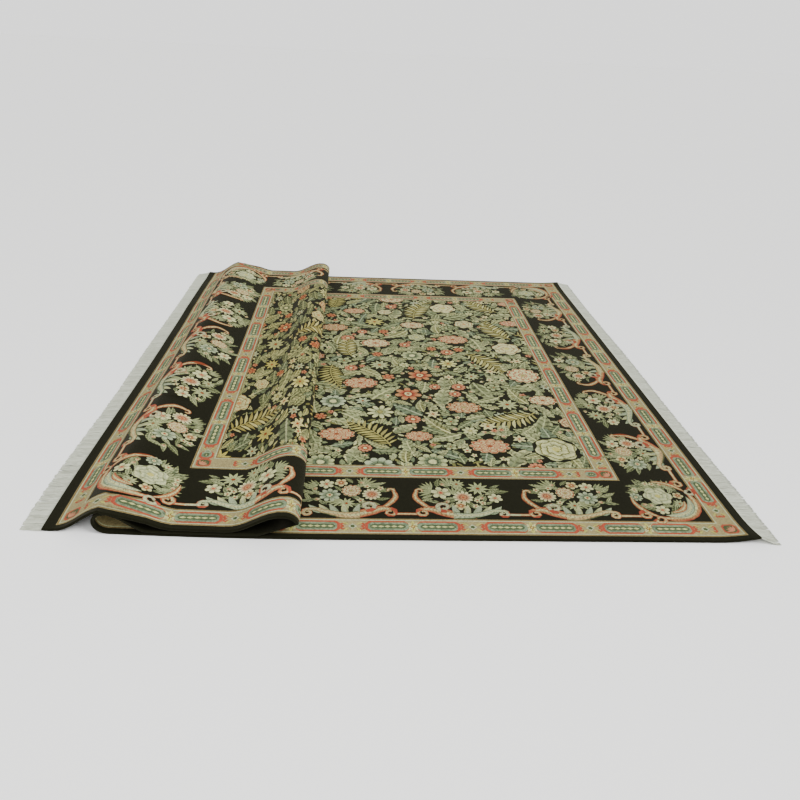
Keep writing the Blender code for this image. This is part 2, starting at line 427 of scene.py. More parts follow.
class Strewing:
    """Finds free places for motifs on a patch of cloth.

    A raster keeps, for each small cell, how far it is to the nearest motif placed so far,
    or to the patch's own edge. It is negative inside them.
    """

    def __init__(self, seed, low, high, room=None, cell=0.005):
        self.rng = np.random.default_rng(seed)
        self.low, self.high, self.cell = np.array(low), np.array(high), cell
        self.x = np.arange(low[0], high[0] + cell, cell)
        self.y = np.arange(low[1], high[1] + cell, cell)
        grid_x, grid_y = np.meshgrid(self.x, self.y, indexing="ij")
        self.free = room(grid_x, grid_y) if room else np.full(grid_x.shape, MOST_ROOM)

    def room_at(self, spots):
        """The free room in the raster's cell at each spot."""
        index = np.rint((spots - self.low) / self.cell).astype(int)
        index = np.clip(index, 0, np.array(self.free.shape) - 1)
        return self.free[index[..., 0], index[..., 1]]

    def find(self, size, long=False, tries=40, turned=None, up_to=None):
        """The place and turn, out of some at random, with the most free room.

        A long motif is tried as three circles in a row from its root, a round one as one.
        turned, where it is given, changes each turn by where its place is.
        """
        high = self.high if up_to is None else (up_to, self.high[1])
        spot = self.rng.uniform(self.low, high, (tries, 2))
        turn = self.rng.uniform(0.0, 2 * np.pi, tries)
        turn = turned(spot, turn) if turned else turn
        shares, radius = (np.array([0.2, 0.5, 0.8]), 0.2 * size) if long else (np.zeros(1), size)
        ahead = np.stack([-np.sin(turn), np.cos(turn)], axis=1) * size
        centre = spot[:, None, :] + ahead[:, None, :] * shares[None, :, None]
        room = self.room_at(centre)
        best = int(np.argmax(room.min(axis=1) + 0.5 * room.mean(axis=1)))
        for x, y in centre[best]:
            a, b = np.searchsorted(self.x, (x - NEAR, x + NEAR))
            c, d = np.searchsorted(self.y, (y - NEAR, y + NEAR))
            gap = np.hypot(self.x[a:b, None] - x, self.y[None, c:d] - y) - radius
            self.free[a:b, c:d] = np.minimum(self.free[a:b, c:d], gap)
        return spot[best], float(turn[best])


field = Strewing(FIELD_SEED, FIELD[0] - FIELD_MARGIN, FIELD[1] + FIELD_MARGIN)
pick = np.random.default_rng(FIELD_SEED + 1)
strewn = []


def leaning(spot, turn):
    """On top of the fold: LEAN + LEAN_SPREAD * sin(turn), and half a turn on where turn > pi."""
    narrowed = LEAN + LEAN_SPREAD * np.sin(turn) + np.pi * (turn > np.pi)
    return np.where(spot[:, 0] > ON_TOP, narrowed, turn)


def strew(count, low, high, kinds, long=False, crowd=0.8, tries=40, layer=0, up_to=None):
    """Strews that many motifs of sizes between low and high, of the kinds in turn."""
    for i in range(count):
        size = pick.uniform(low, high)
        spot, turn = field.find(size * crowd, long, tries, leaning, up_to)
        strewn.append((layer, len(strewn), kinds[i % len(kinds)], spot, turn, size))


def put(kind, placing):
    """Draws a motif of a kind."""
    kind[0](placing, *kind[1:])


def within(outer, *kinds):
    """Each of the kinds, drawn by way of an outer one."""
    return tuple(outer + kind for kind in kinds)


def retinted(shape, rgb_share):
    """The shape with its dyes scaled by that share of the usual red, green and blue."""
    return shape._replace(root=shape.root * rgb_share, end=shape.end * rgb_share, line=shape.line * rgb_share)


GREENS = (
    (leaf, SAGE, GREY_GREEN, PALE_SAGE, 0.27, 0.2, 4),
    (leaf, PALE_SAGE, SAGE, CREAM, 0.27, -0.2, 3),
    (leaf, PALE_SAGE, DARK_SAGE, PALE_SAGE, 0.25, 0.15),
    (leaf, CREAM, GREY_GREEN, SAGE, 0.26, -0.2, 4),
    (leaf, BLUE_GREY, GREY_GREEN, PALE_BLUE, 0.28, 0.1, 3),
    (leaf, PALE_SAGE, OLIVE, CREAM, 0.24, -0.3, 0, 7),
)


def on_black(placing, *flower):
    """A flower with a black line round it."""
    draw(placing, disc(9, 1.10), BLACK)
    put(flower, placing)


def in_leaves(placing, number, broad, *flower):
    """A flower on a wreath of leaves that point away from it.

    A broad one is turned level and drawn broader, unless it lies on top of the fold.
    """
    for i in range(number):
        turn = pick.uniform(-0.3, 0.3) + 2 * math.pi * i / number
        away = np.array([-math.sin(turn), math.cos(turn)]) * 0.45
        put(GREENS[pick.integers(len(GREENS))],
            placed(placing, away[0], away[1], turn, pick.uniform(0.9, 1.6)))
    if broad and placing[0, 2] <= ON_TOP:
        size = math.hypot(placing[0, 0], placing[1, 0])
        placing = placed(ON_CLOTH, placing[0, 2], placing[1, 2], 0.0, size) @ BROAD
    on_black(placing, *flower)


# The largest blossoms, the peonies and the middling flowers in their wreaths; then fronds,
# flowers on black, long leaves and shorter ones, buds, and sprigs in what room is left. Of two
# layers the one with the higher number lies on top.
strew(9, 0.076, 0.094, within(
    (in_leaves, 8, False), (rose, IVORY, CREAM, SALMON, YELLOW), (peony, CREAM, ROSE, MUSTARD),
    (daisy, 12, CREAM, PALE_SAGE, OLIVE, MUSTARD, 0.45), (rose, CREAM, PALE_SAGE, OLIVE, YELLOW),
), crowd=1.2, tries=80, layer=5, up_to=ON_TOP)
strew(23, 0.044, 0.066, within(
    (in_leaves, 5, True), (peony,), (peony, CREAM, ROSE, RUST), (peony, SALMON, ROSE, RUST),
    (peony, SALMON, RUST, MUSTARD),
), crowd=1.3, tries=60, layer=5, up_to=ON_TOP)
strew(56, 0.042, 0.068, within(
    (in_leaves, 5, False), (rosette,), (daisy, 8, CREAM, YELLOW, MUSTARD, RUST, 0.5), (rose,),
    (rose, PALE_SAGE, CREAM, SAGE, YELLOW), (star, 9, YELLOW, MUSTARD, 0.17),
    (rosette, PALE_SAGE, SAGE, GREY_GREEN, CREAM),
    (daisy, 9, CREAM, PALE_SAGE, OLIVE, MUSTARD, 0.5), (daisy, 7, SALMON, ROSE, CREAM, RUST),
    (rose, CREAM, PINK, ROSE, RUST), (star, 10, PALE_SAGE, SAGE, 0.16),
), crowd=1.25, tries=60, layer=5)
strew(28, 0.20, 0.27, ((fern,), (fern, 12, MUSTARD, CREAM, -0.45)), True, 0.8, 80, 4)
strew(150, 0.026, 0.038, within(
    (on_black,), (daisy, 6, SALMON, ROSE, SALMON, RUST), (star, 6, CREAM, SALMON, 0.24),
    (daisy, 7, PALE_SAGE, CREAM, OLIVE, YELLOW), (star, 7, PALE_BLUE, SAGE),
    (rosette, PINK, SALMON, ROSE, CREAM), (daisy, 5, PALE_SAGE, SAGE, SAGE),
), crowd=0.9, layer=3)
strew(90, 0.140, 0.200, GREENS, True, 0.9, 60, 2)
strew(560, 0.060, 0.130, GREENS, True, 0.8, 40, 2)
strew(360, 0.013, 0.020, (
    (floret,), (floret, 6, PALE_SAGE, YELLOW), (bud, PINK, SAGE, 1.5), (floret, 5, PINK, RUST),
    (bud, CREAM, DARK_SAGE, 1.6),
), crowd=0.9, layer=3)
strew(1300, 0.024, 0.046, (
    (sprig,), (sprig, PALE_SAGE), (sprig, CREAM, 0.22, SAGE), (sprig, GREY_GREEN, 0.24),
    (sprig, OLIVE, 0.2, DARK_SAGE),
), True, 0.9, 24, 1)
for _, _, kind, spot, turn, size in sorted(strewn, key=lambda item: item[:2]):
    first, on_top = len(design), spot[0] > ON_TOP
    place = placed(ON_CLOTH, spot[0], spot[1])
    put(kind, placed(place @ DRAWN_OUT if on_top else place, 0.0, 0.0, turn, size))
    for i in range(first, len(design)):
        kept = design[i]._replace(outline=np.clip(design[i].outline, FIELD[0], FIELD[1]))
        # On top of the fold the dyes are darkened and warmed: painted shade.
        design[i] = retinted(kept, PAINTED_SHADE_ON_TOP) if on_top else kept


# The borders: from the edge inwards a black guard, a minor border on beige, the main border on
# black with its bouquets, and a second minor border next to the field.

END_GUARD, SIDE_GUARD = 0.0344, 0.0219
MINOR_OUTER = 0.0817
MAIN = 0.2449
MINOR_INNER = 0.0803
BORDER_LINES = ((0.0032, 0.0028, GOLD_BROWN), (0.0085, 0.0034, PALE_BLUE))   # in, thick, dye
CARTOUCHE_SHARE = 0.70           # of the minor border's width
CARTOUCHE_SHORTER, CARTOUCHE_ASIDE = 0.054, 0.013
CARTOUCHE_BEADS = 5


def frame_band(end_from, side_from, width):
    """Four mitred beige strips that make one frame round the cloth."""
    low, high = np.array([end_from, side_from]), np.array([end_from, side_from]) + width
    size = np.array([RUG_LENGTH, RUG_WIDTH])
    a, b = (np.array([at, [size[0] - at[0], at[1]], size - at, [at[0], size[1] - at[1]]])
            for at in (low, high))
    for i in range(4):
        j = (i + 1) % 4
        draw(ON_CLOTH, np.array([a[i], a[j], b[j], b[i]]), BEIGE)


def side_placing(side, end_from, side_from):
    """A side's placing, with x along the border and y from its outer line in, and its length.

    The sides are 0 near, 1 left end, 2 far, 3 right end.
    """
    long, wide = RUG_LENGTH - 2 * end_from, RUG_WIDTH - 2 * side_from
    corner = ((end_from, side_from), (RUG_LENGTH - end_from, side_from),
              (RUG_LENGTH - end_from, RUG_WIDTH - side_from), (end_from, RUG_WIDTH - side_from))
    turn = 0.5 * math.pi * side
    return placed(ON_CLOTH, *corner[side], turn), (long, wide, long, wide)[side]


def box_outline(length, height, chamfer):
    """A rectangle about the middle with cut corners."""
    a, b, c = 0.5 * length, 0.5 * height, chamfer
    return np.array([[-a, -b + c], [-a + c, -b], [a - c, -b], [a, -b + c],
                     [a, b - c], [a - c, b], [-a + c, b], [-a, b - c]])


def curl_path(x, y, radius, start, turns, steps=9):
    """A spiral that winds in to 0.35 of its radius."""
    t = np.linspace(0.0, 1.0, steps)
    angle = start + 2 * np.pi * turns * t
    size = radius * (1 - 0.65 * t)
    return np.stack([x + size * np.cos(angle), y + size * np.sin(angle)], axis=1)


def cartouche(placing, length, height, beads):
    """A long box from an ornament to a star, closed at the end at -x and open at the other.

    A red line runs round three of its sides; inside it a cool ground, a darker middle, and a
    chain of pale leaves along that.
    """
    draw(placing, box_outline(length, height, 0.24 * height), ROSE)
    draw(placed(placing, 0.0050, 0.0), box_outline(length - 0.010, height - 0.0150, 0.18 * height),
         BLUE_GREY, figure=HATCHED, count=45.0)
    draw(placed(placing, 0.003, 0.0), box_outline(length - 0.026, 0.40 * height, 0.14 * height),
         MOSS)
    step = (length - 0.036) / beads
    for number in range(beads):
        bead = placed(placing, -0.5 * length + 0.020 + step * number, 0.0, -0.5 * math.pi, step)
        petal(bead, 0.26, 0.0, 2, YELLOW, CREAM, PALE_SAGE, level=1)


def knot_ornament(placing):
    """Between two units: a blue ring, a red scroll at either side of it, small yellow leaves."""
    for side in (-1.0, 1.0):
        mirror = placing @ np.diag([side, 1.0, 1.0])
        for up in (-1.0, 1.0):
            curl = curl_path(0.029, up * 0.0095, 0.0100, -0.5 * up * math.pi, 0.8 * up, 6)
            ribbon(mirror, curl, np.linspace(0.0085, 0.0060, 6), ROSE)
            sprig(placed(mirror, 0.012, up * 0.008, -0.9 if up > 0 else -2.24, 0.024),
                  YELLOW, 0.24, OLIVE)
    draw(placed(placing, 0.0, 0.0, 0.0, 0.0150), lobed(4, 0.35, 2), PALE_BLUE)
    draw(placed(placing, 0.0, 0.0, 0.0, 0.0085), disc(5), DARK_SAGE, level=1)


def yellow_star(placing):
    """The unit's middle: a yellow star of eight points, four of them long, and a red lozenge."""
    for point in range(8):
        reach, dyed = (0.036, 0.028, 0.033, 0.028)[point % 4], (YELLOW, CREAM)[point % 2]
        petal(placed(placing, 0.0, 0.0, 0.25 * math.pi * point - 0.5 * math.pi, reach), 0.22, 0.0,
              3, dyed, dyed, OLIVE)
    for size, dyed in ((0.0085, RUST), (0.0048, YELLOW)):
        draw(placed(placing, 0.0, 0.0, 0.0, size), np.array([[1, 0], [0, 1], [-1, 0], [0, -1]]),
             dyed, level=1)


def minor_side(placing, length, width, places):
    """A side of a minor border: edge lines, and cartouches between ornaments and stars in turn."""
    middle = 0.5 * width
    for inset, thick, dyed in BORDER_LINES:
        for y in (inset, width - inset):
            draw(placed(placing, 0.5 * length, y), box_outline(length - 2 * y, thick, 0.0001),
                 dyed)
    for i, x in enumerate(places):
        (yellow_star if i % 2 else knot_ornament)(placed(placing, x, middle))
    for i, (x, after) in enumerate(zip(places[:-1], places[1:])):
        facing = -1.0 if i % 2 else 1.0
        at = placed(placing, 0.5 * (x + after) + facing * CARTOUCHE_ASIDE, middle)
        cartouche(at @ np.diag([facing, 1.0, 1.0]), after - x - CARTOUCHE_SHORTER,
                  CARTOUCHE_SHARE * width, CARTOUCHE_BEADS)


def fan_corner(placing, size):
    """A square corner piece: a red line, a dark ground, and a fan of pink blades."""
    draw(placing, box_outline(size, size, 0.2 * size), ROSE)
    draw(placing, box_outline(size - 0.011, size - 0.011, 0.2 * size), DARK_SAGE)
    for turn in (-0.9, -0.45, 0.0, 0.45, 0.9):
        blade_at = placed(placing, -0.22 * size, -0.22 * size, turn - 0.25 * math.pi, 0.55 * size)
        draw(blade_at, blade(0.13, 0.0, 3), PINK, level=1)


frame_band(END_GUARD, SIDE_GUARD, MINOR_OUTER)
inner_end, inner_side = END_GUARD + MINOR_OUTER + MAIN, SIDE_GUARD + MINOR_OUTER + MAIN
frame_band(inner_end, inner_side, MINOR_INNER)
# Ornaments and stars stand along a side by number; they close up a little in its middle.
OUTER_LONG = np.interp(np.arange(19), (0, 7, 11, 18), (0.126, 1.508, 2.123, 3.505))
OUTER_WIDE = np.linspace(0.146, RUG_WIDTH - 2 * SIDE_GUARD - 0.146, 13)
INNER_LONG = np.interp(np.arange(15), (0, 5, 9, 14), (0.179, 1.204, 1.774, 2.799))
INNER_WIDE = np.linspace(0.117, RUG_WIDTH - 2 * inner_side - 0.117, 9)
for side in range(4):
    for end_from, side_from, width, corner, places in (
            (END_GUARD, SIDE_GUARD, MINOR_OUTER, 0.052, (OUTER_LONG, OUTER_WIDE)),
            (inner_end, inner_side, MINOR_INNER, 0.050, (INNER_LONG, INNER_WIDE))):
        placing, length = side_placing(side, end_from, side_from)
        minor_side(placing, length, width, places[side % 2])
        fan_corner(placed(placing, 0.5 * width, 0.5 * width), corner)
    cartouche(placed(placing, 0.092, 0.5 * MINOR_INNER), 0.052, 0.050, 2)


# The main border: bouquets that lean to the field, each in the arms of an acanthus scroll whose
# curled ends are joined to the next one's by a short bar.

BOUQUET_MIDDLE = (-0.012, 0.149)
BOUQUET_HIGH = 0.084             # half its height
BOUQUET_CLEAR = 0.046            # how far it stops short of its unit's ends
CORNER_SIZE = 0.245

def bar_end(joint, dyed, radius=0.023):
    """Half of a bar between two units, with the curl that it ends in, along -x."""
    bar = np.array([[0.001, 0.028], [-0.038, 0.028]])
    ribbon(joint, bar, 0.0130, dyed, CREAM, ROSE)
    curl = curl_path(-0.056, 0.012 + radius, radius, 0.5 * np.pi, -1.1)
    ribbon(joint, curl, np.linspace(0.017, 0.011, 9), dyed, CREAM, ROSE, 6)


def along_points(x, y, steps=11):
    """A smooth path through a few points, as a parabola through each three in turn."""
    knots, t = np.arange(len(x)), np.linspace(0.0, len(x) - 1.0, steps)
    low = np.clip(np.rint(t).astype(int), 1, len(x) - 2)
    share = t - knots[low]
    weights = np.stack([0.5 * share * (share - 1), 1 - share ** 2, 0.5 * share * (share + 1)])
    return np.stack([sum(weight * np.asarray(axis)[low + k - 1] for k, weight in
                         enumerate(weights)) for axis in (x, y)], axis=1)


def scroll(placing, half, cool):
    """The scroll under a bouquet, its warm arm at +x and its cool one at -x.

    Both arms curl at their ends. The warm one also carries a second curl turned inwards and a
    tall thin one that holds the flowers; the cool one has leafy tongues along its top.
    """
    reach = half - 0.056
    path = along_points((1.10 * reach, 1.16 * reach, 1.06 * reach, 0.90 * reach, 0.70 * reach),
                        (0.165, 0.128, 0.098, 0.072, 0.056), 13)
    ribbon(placing, path, 0.007 + 0.016 * np.sin(np.pi * np.linspace(0.12, 1.0, 13)), SALMON,
           CREAM, RUST, 9)
    tip = curl_path(1.02 * reach, 0.162, 0.016, 0.0, 0.60, 7)
    ribbon(placing, tip, np.linspace(0.013, 0.007, 7), SALMON, CREAM, RUST)
    path = along_points((reach, 0.78 * reach, 0.45 * reach, 0.1 * reach, -0.3 * reach),
                        (0.052, 0.056, 0.036, 0.018, 0.014))
    ribbon(placing, path, 0.018 + 0.024 * np.sin(np.pi * np.linspace(0.0, 1.0, 11)), SALMON,
           CREAM, ROSE, 13)
    inner = curl_path(0.47 * reach, 0.070, 0.027, -0.6 * np.pi, 1.15, 12)
    ribbon(placing, inner, np.linspace(0.020, 0.012, 12), PALE_BLUE, CREAM, ROSE, 10)
    for k, lean in enumerate((1.15, 1.0, 0.85, 0.55, 0.15)):
        tongue = placed(placing, (-0.62 + 0.20 * k) * reach, 0.030 - 0.004 * k, lean, 0.066)
        petal(tongue, 0.20, 0.30, 4, (BLUE_GREY, GREY_GREEN)[k % 2], (PALE_BLUE, CREAM)[k % 2],
              PALE_BLUE)
    path = along_points((-reach, -0.80 * reach, -0.50 * reach, -0.15 * reach, 0.25 * reach),
                        (0.048, 0.050, 0.032, 0.018, 0.022))
    ribbon(placing, path, 0.016 + 0.025 * np.linspace(0.0, 1.0, 11) ** 1.3, cool, CREAM,
           DARK_SAGE, 13)
    bar_end(placed(placing, half, 0.0), SALMON)
    bar_end(placed(placing, -half, 0.0) @ np.diag([-1.0, 1.0, 1.0]), cool, 0.019)


def crescent(placing, y, radius, start, end, width, body, edge, flutes=12):
    """A crescent leaf round (0, y): an arc whose width swells as a sine, fluted across."""
    t = np.linspace(0.0, 1.0, 11)
    angle = start + (end - start) * t
    path = np.stack([radius * np.cos(angle), y + radius * np.sin(angle)], axis=1)
    ribbon(placing, path, 0.002 + width * np.sin(np.pi * t) ** 0.8, body, CREAM, edge, flutes)


def spray(placing):
    """Five thin leaves spread from one root."""
    for lean in (-0.7, -0.35, 0.0, 0.35, 0.7):
        sprig(placed(placing, 0, 0, lean), PALE_SAGE, 0.10, DARK_SAGE)


ROUND_DAISY = (daisy, 12, IVORY, PINK, SALMON, ROSE, 0.3)
SAGE_STAR = (star, 10, PALE_SAGE, SAGE, 0.15)
CREAM_SIX = (daisy, 6, IVORY, CREAM, PINK, ROSE, 0.36)
BLUE_DAISY = (daisy, 9, PALE_BLUE, BLUE_GREY, CREAM, ROSE, 0.3)
PINK_FIVE = (daisy, 5, CREAM, SALMON, ROSE, CREAM, 0.32)
CREAM_ROSE = (rose, IVORY, PALE_BLUE, PALE_SAGE, YELLOW)
BOUQUET_LEAVES = (
    (leaf, PALE_SAGE, GREY_GREEN, CREAM, 0.19, 0.25),
    (leaf, SAGE, DARK_SAGE, PALE_SAGE, 0.21, -0.2),
    (leaf, PALE_SAGE, SLATE, DARK_SAGE, 0.17, 0.3, 0, 3),
)


def bouquet(placing, seed, flowers, centre, reach, sprigs=23):
    """A bouquet inside an ellipse: its flowers strewn first, then leaves pointing outwards."""
    centre, reach = np.array(centre), np.array(reach)

    def inside(x, y):
        share = np.hypot((x - centre[0]) / reach[0], (y - centre[1]) / reach[1])
        return (1.0 - share) * reach[1] + 0.004

    strewing = Strewing(seed, centre - reach, centre + reach, inside, 0.003)
    blooms = [(kind, *strewing.find(size), size) for kind, size in flowers]
    for i in range(6):
        blooms.append(((floret,) if i % 2 else (bud,), *strewing.find(0.010),
                       0.014 if i % 2 else 0.022))
    foot = np.array([centre[0], centre[1] - 0.6 * reach[1]])
    for i in range(sprigs):
        spot, _ = strewing.find(0.014, tries=16)
        away = spot - foot
        turn = math.atan2(-away[0], away[1]) + strewing.rng.uniform(-0.7, 0.7)
        size = strewing.rng.uniform(0.038, 0.064)
        root = spot - 0.45 * size * np.array([-math.sin(turn), math.cos(turn)])
        put((spray,) if i % 6 == 4 else BOUQUET_LEAVES[i % 3],
            placed(placing, root[0], root[1], turn, size))
    for kind, spot, turn, size in blooms:
        put(kind, placed(placing, spot[0], spot[1], turn, size))


BOUQUETS = (
    ((((peony, CREAM, ROSE, MUSTARD), 0.036), (BLUE_DAISY, 0.038), (ROUND_DAISY, 0.034),
      (SAGE_STAR, 0.032), (CREAM_SIX, 0.028), (PINK_FIVE, 0.024)), PEACH),
    (((ROUND_DAISY, 0.037), (SAGE_STAR, 0.042), (CREAM_SIX, 0.036), (SAGE_STAR, 0.030),
      (CREAM_SIX, 0.027), (PINK_FIVE, 0.024)), PALE_BLUE),
)
CORNER_FLOWERS = ((CREAM_ROSE, 0.054), (CREAM_SIX, 0.026), (BLUE_DAISY, 0.024),
                  (SAGE_STAR, 0.026), (PINK_FIVE, 0.020))


def border_unit(placing, half, number, facing):
    """One bouquet with its scroll, of two kinds in turn; facing -1 mirrors it."""
    mirror, kind = placing @ np.diag([facing, 1.0, 1.0]), number % 2
    flowers, cool = BOUQUETS[kind]
    bouquet(mirror, 100 + kind, flowers, BOUQUET_MIDDLE, (half - BOUQUET_CLEAR, BOUQUET_HIGH))
    scroll(mirror, half, cool)


def border_corner(placing):
    """A corner: a large cream rose in leaves, held by a round fluted scroll in three dyes."""
    at = placed(placing, 0.5 * CORNER_SIZE, 0.5 * CORNER_SIZE, -0.25 * math.pi)
    bouquet(at, 304, CORNER_FLOWERS, (0.0, 0.026), (0.100, 0.096), 22)
    crescent(at, 0.006, 0.112, -0.45, 0.95, 0.020, SALMON, RUST)
    crescent(at, 0.006, 0.112, 2.3, 3.5, 0.018, SALMON, RUST)
    crescent(at, 0.004, 0.112, -2.9, -0.2, 0.036, SALMON, ROSE, 22)
    crescent(at, 0.002, 0.092, -2.6, -0.5, 0.030, PALE_BLUE, BLUE_GREY, 18)
    crescent(at, 0.000, 0.070, -2.3, -0.8, 0.018, SALMON, ROSE, 12)
    for side in (-1.0, 1.0):
        curl = curl_path(side * 0.116, -0.040, 0.024, 0.5 * math.pi - side * 0.9, -side * 1.0)
        ribbon(at, curl, np.linspace(0.018, 0.010, 9), SALMON if side > 0 else PALE_BLUE, CREAM,
               ROSE, 6)


main_end, main_side = END_GUARD + MINOR_OUTER, SIDE_GUARD + MINOR_OUTER
# Where the bars between bouquets stand, from the rug's own edges; those in the middle of a long
# side, where the weaver made up the length, stand a little closer.
BARS_LONG = np.array([0.390, 0.777, 1.164, 1.551, 1.879, 2.208, 2.536, 2.923, 3.310]) - main_end
BARS_WIDE = np.array([0.385, 0.760, 1.175, 1.610, 2.015, 2.355]) - main_side
# Which way each unit's warm arm points along its side, as a mirrored row.
LONG_FACING, WIDE_FACING = (1, 1, -1, 1, -1, 1, -1, -1), (1, 1, 1, -1, -1)
# Up to the fold the main border's dyes are made darker than the field's, by this share.
BORDER_DIMMING, DIMMED_TO = 0.80, 2.70
first = len(design)
for side in range(4):
    placing, length = side_placing(side, main_end, main_side)
    bars, facings = (BARS_WIDE, WIDE_FACING) if side % 2 else (BARS_LONG, LONG_FACING)
    for i, (bar, after) in enumerate(zip(bars[:-1], bars[1:])):
        border_unit(placed(placing, 0.5 * (bar + after), 0.0), 0.5 * (after - bar), i, facings[i])
    border_corner(placing)
    for bar, facing in ((bars[0], 1.0), (bars[-1], -1.0)):
        bar_end(placed(placing, bar, 0.0) @ np.diag([facing, 1.0, 1.0]), SALMON)
for i in range(first, len(design)):
    if design[i].placing[0, 2] < DIMMED_TO:
        design[i] = retinted(design[i], BORDER_DIMMING)

# The last part was beaten down less hard, so the left end's borders came out a little longer.
SLACK_FROM, SLACK = 1.60, 1.19
EVEN = (0.0, SLACK_FROM, RUG_LENGTH - inner_end, RUG_LENGTH)
WOVEN = (0.0, SLACK_FROM, RUG_LENGTH - SLACK * inner_end, RUG_LENGTH)
SHORT_WAY = 0.01
for i, shape in enumerate(design):
    flat, middle, path = shape.outline.copy(), shape.placing[0, 2], shape.path
    flat[:, 0] = np.interp(flat[:, 0], EVEN, WOVEN)
    low, high = np.interp((middle - SHORT_WAY, middle + SHORT_WAY), EVEN, WOVEN)
    longer = np.diag([(high - low) / (2 * SHORT_WAY), 1.0, 1.0])
    longer[0, 2] = 0.5 * (low + high) - longer[0, 0] * middle
    if path is not None:
        path = np.column_stack([np.interp(path[:, 0], EVEN, WOVEN), path[:, 1:]])
    design[i] = shape._replace(outline=flat, placing=longer @ shape.placing, path=path)


# ------------------------------------------------------------------------------------------
# The rug, 3: the cloth itself. The pile is cut along every outline of the design, so a knot's
# colour changes where the outline runs. The back shows the main shapes only, and a rounded
# selvedge, overcast in black wool, closes the edge.

EDGE = 0.0040                    # how far in from the edge the selvedge starts
FLAT_STEP = 0.15
CURL_STEP = 0.036
CURVE_STEP = 0.026
FOLD_STEP = 0.012
LEAST_STEP = 0.005
AHEAD = 0.01                     # how far ahead a step looks at the bend
SLIGHT_BEND, SHARP_BEND = 0.8, 14.0          # radians of turn in a metre of cloth
CURLED = (0.13, RUG_LENGTH - CURL_RADIUS)    # the cloth outside these may curl up
EDGE_LINES = np.array([EDGE, 0.035, 0.075, 0.12])    # lines along the rug, near either edge
INNER_LINES = 21                 # and evenly between them
HIDDEN = (1.62, 2.70)            # the cloth between these is inside the fold
SELVEDGE_ROWS = ((0.0012, 0.80), (0.0, 0.35), (0.0, -0.35), (0.0012, -0.80))
PILE_LEAST = 0.0008              # shapes narrower than this are left out, on the pile,
HIDDEN_LEAST = 0.070             # on the hidden pile,
BACK_LEAST = 0.085               # and on the back
PILE_TOLERANCE = 0.0007          # how far an outline may be moved to save points, on the pile
BACK_TOLERANCE = 0.0030          # and on the back


def mesh_lines():
    """u and v of the lines that let the flat triangles follow the folds and the curls.

    u goes on in steps: short in the folds, middling on slopes and curls, long on level cloth.
    """
    turning = np.unwrap(np.arctan2(run_z[MIDDLE_ROW], run_x[MIDDLE_ROW]))
    bends = np.abs(np.gradient(turning, line_u))
    u, lines_u = EDGE, [EDGE]
    while u < RUG_LENGTH - EDGE:
        bend = np.interp(u + AHEAD, line_u, bends)
        step = FOLD_STEP if bend > SHARP_BEND else CURVE_STEP if bend > SLIGHT_BEND else FLAT_STEP
        if u < CURLED[0] or u > CURLED[1]:
            step = min(step, CURL_STEP)
        u += step
        lines_u.append(u)
    lines_u[-1] = RUG_LENGTH - EDGE
    if lines_u[-1] - lines_u[-2] < LEAST_STEP:
        del lines_u[-2]
    inner = np.linspace(EDGE_LINES[-1], RUG_WIDTH - EDGE_LINES[-1], INNER_LINES + 2)[1:-1]
    return np.array(lines_u), np.concatenate([EDGE_LINES, inner, RUG_WIDTH - EDGE_LINES[::-1]])


def topmost_shape(shapes, points):
    """For each point the number of the last shape round it, or -1: the even-odd rule."""
    order = np.argsort(points[:, 0])
    u, v = points[order].T
    top = np.full(len(points), -1)
    for number, shape in enumerate(shapes):
        flat = shape.outline
        low, high = flat.min(axis=0), flat.max(axis=0)
        first, last = np.searchsorted(u, (low[0], high[0]))
        near = first + np.flatnonzero((v[first:last] > low[1]) & (v[first:last] < high[1]))
        if not len(near):
            continue
        x, y = u[near][:, None], v[near][:, None]
        (xa, ya), (xb, yb) = flat.T, np.roll(flat, -1, axis=0).T
        rise = np.where(yb == ya, 1.0, yb - ya)
        crossed = ((ya > y) != (yb > y)) & (x < xa + (y - ya) * (xb - xa) / rise)
        top[near[np.count_nonzero(crossed, axis=1) % 2 == 1]] = number
    answer = np.empty_like(top)
    answer[order] = top
    return answer


def thinned(points, edges, tolerance, rounds=8):
    """Leaves out points between two edges that lie within the tolerance of a straight line.

    In each round no two neighbours go, and the edge between a point's neighbours stands
    for its two.
    """
    for _ in range(rounds):
        order = np.argsort(edges.ravel(), kind="stable")
        degree = np.bincount(edges.ravel(), minlength=len(points))
        start = np.cumsum(degree) - degree
        other = edges[:, ::-1].ravel()[order]
        middle = np.flatnonzero(degree == 2)
        a, b = other[start[middle]], other[start[middle] + 1]
        chord, arm = points[b] - points[a], points[middle] - points[a]
        length = np.maximum(np.hypot(*chord.T), 1e-9)
        off = np.abs(chord[:, 0] * arm[:, 1] - chord[:, 1] * arm[:, 0]) / length
        may_go = np.zeros(len(points), dtype=bool)
        may_go[middle[(off < tolerance) & (a != b)]] = True
        lone = may_go[middle] & ~(may_go[a] & (a < middle)) & ~(may_go[b] & (b < middle))
        if not lone.any():
            break
        gone = start[middle[lone]]
        keep = np.ones(len(edges), dtype=bool)
        keep[order[np.concatenate([gone, gone + 1])] // 2] = False
        edges = np.concatenate([edges[keep], np.stack([a[lone], b[lone]], axis=1)])
    return edges


def triangulated(points, edges):
    """Delaunay triangles that keep the given edges: points, triangles and sources' numbers."""
    cut, _, triangles, sources, _, _ = delaunay_2d_cdt(
        [Vector(p) for p in points.tolist()], edges.tolist(), [], 0, 1e-6, True)
    number = np.full(len(points), -1)
    for new, old in enumerate(sources):
        number[old] = new
    return np.array(cut), np.array(triangles), number


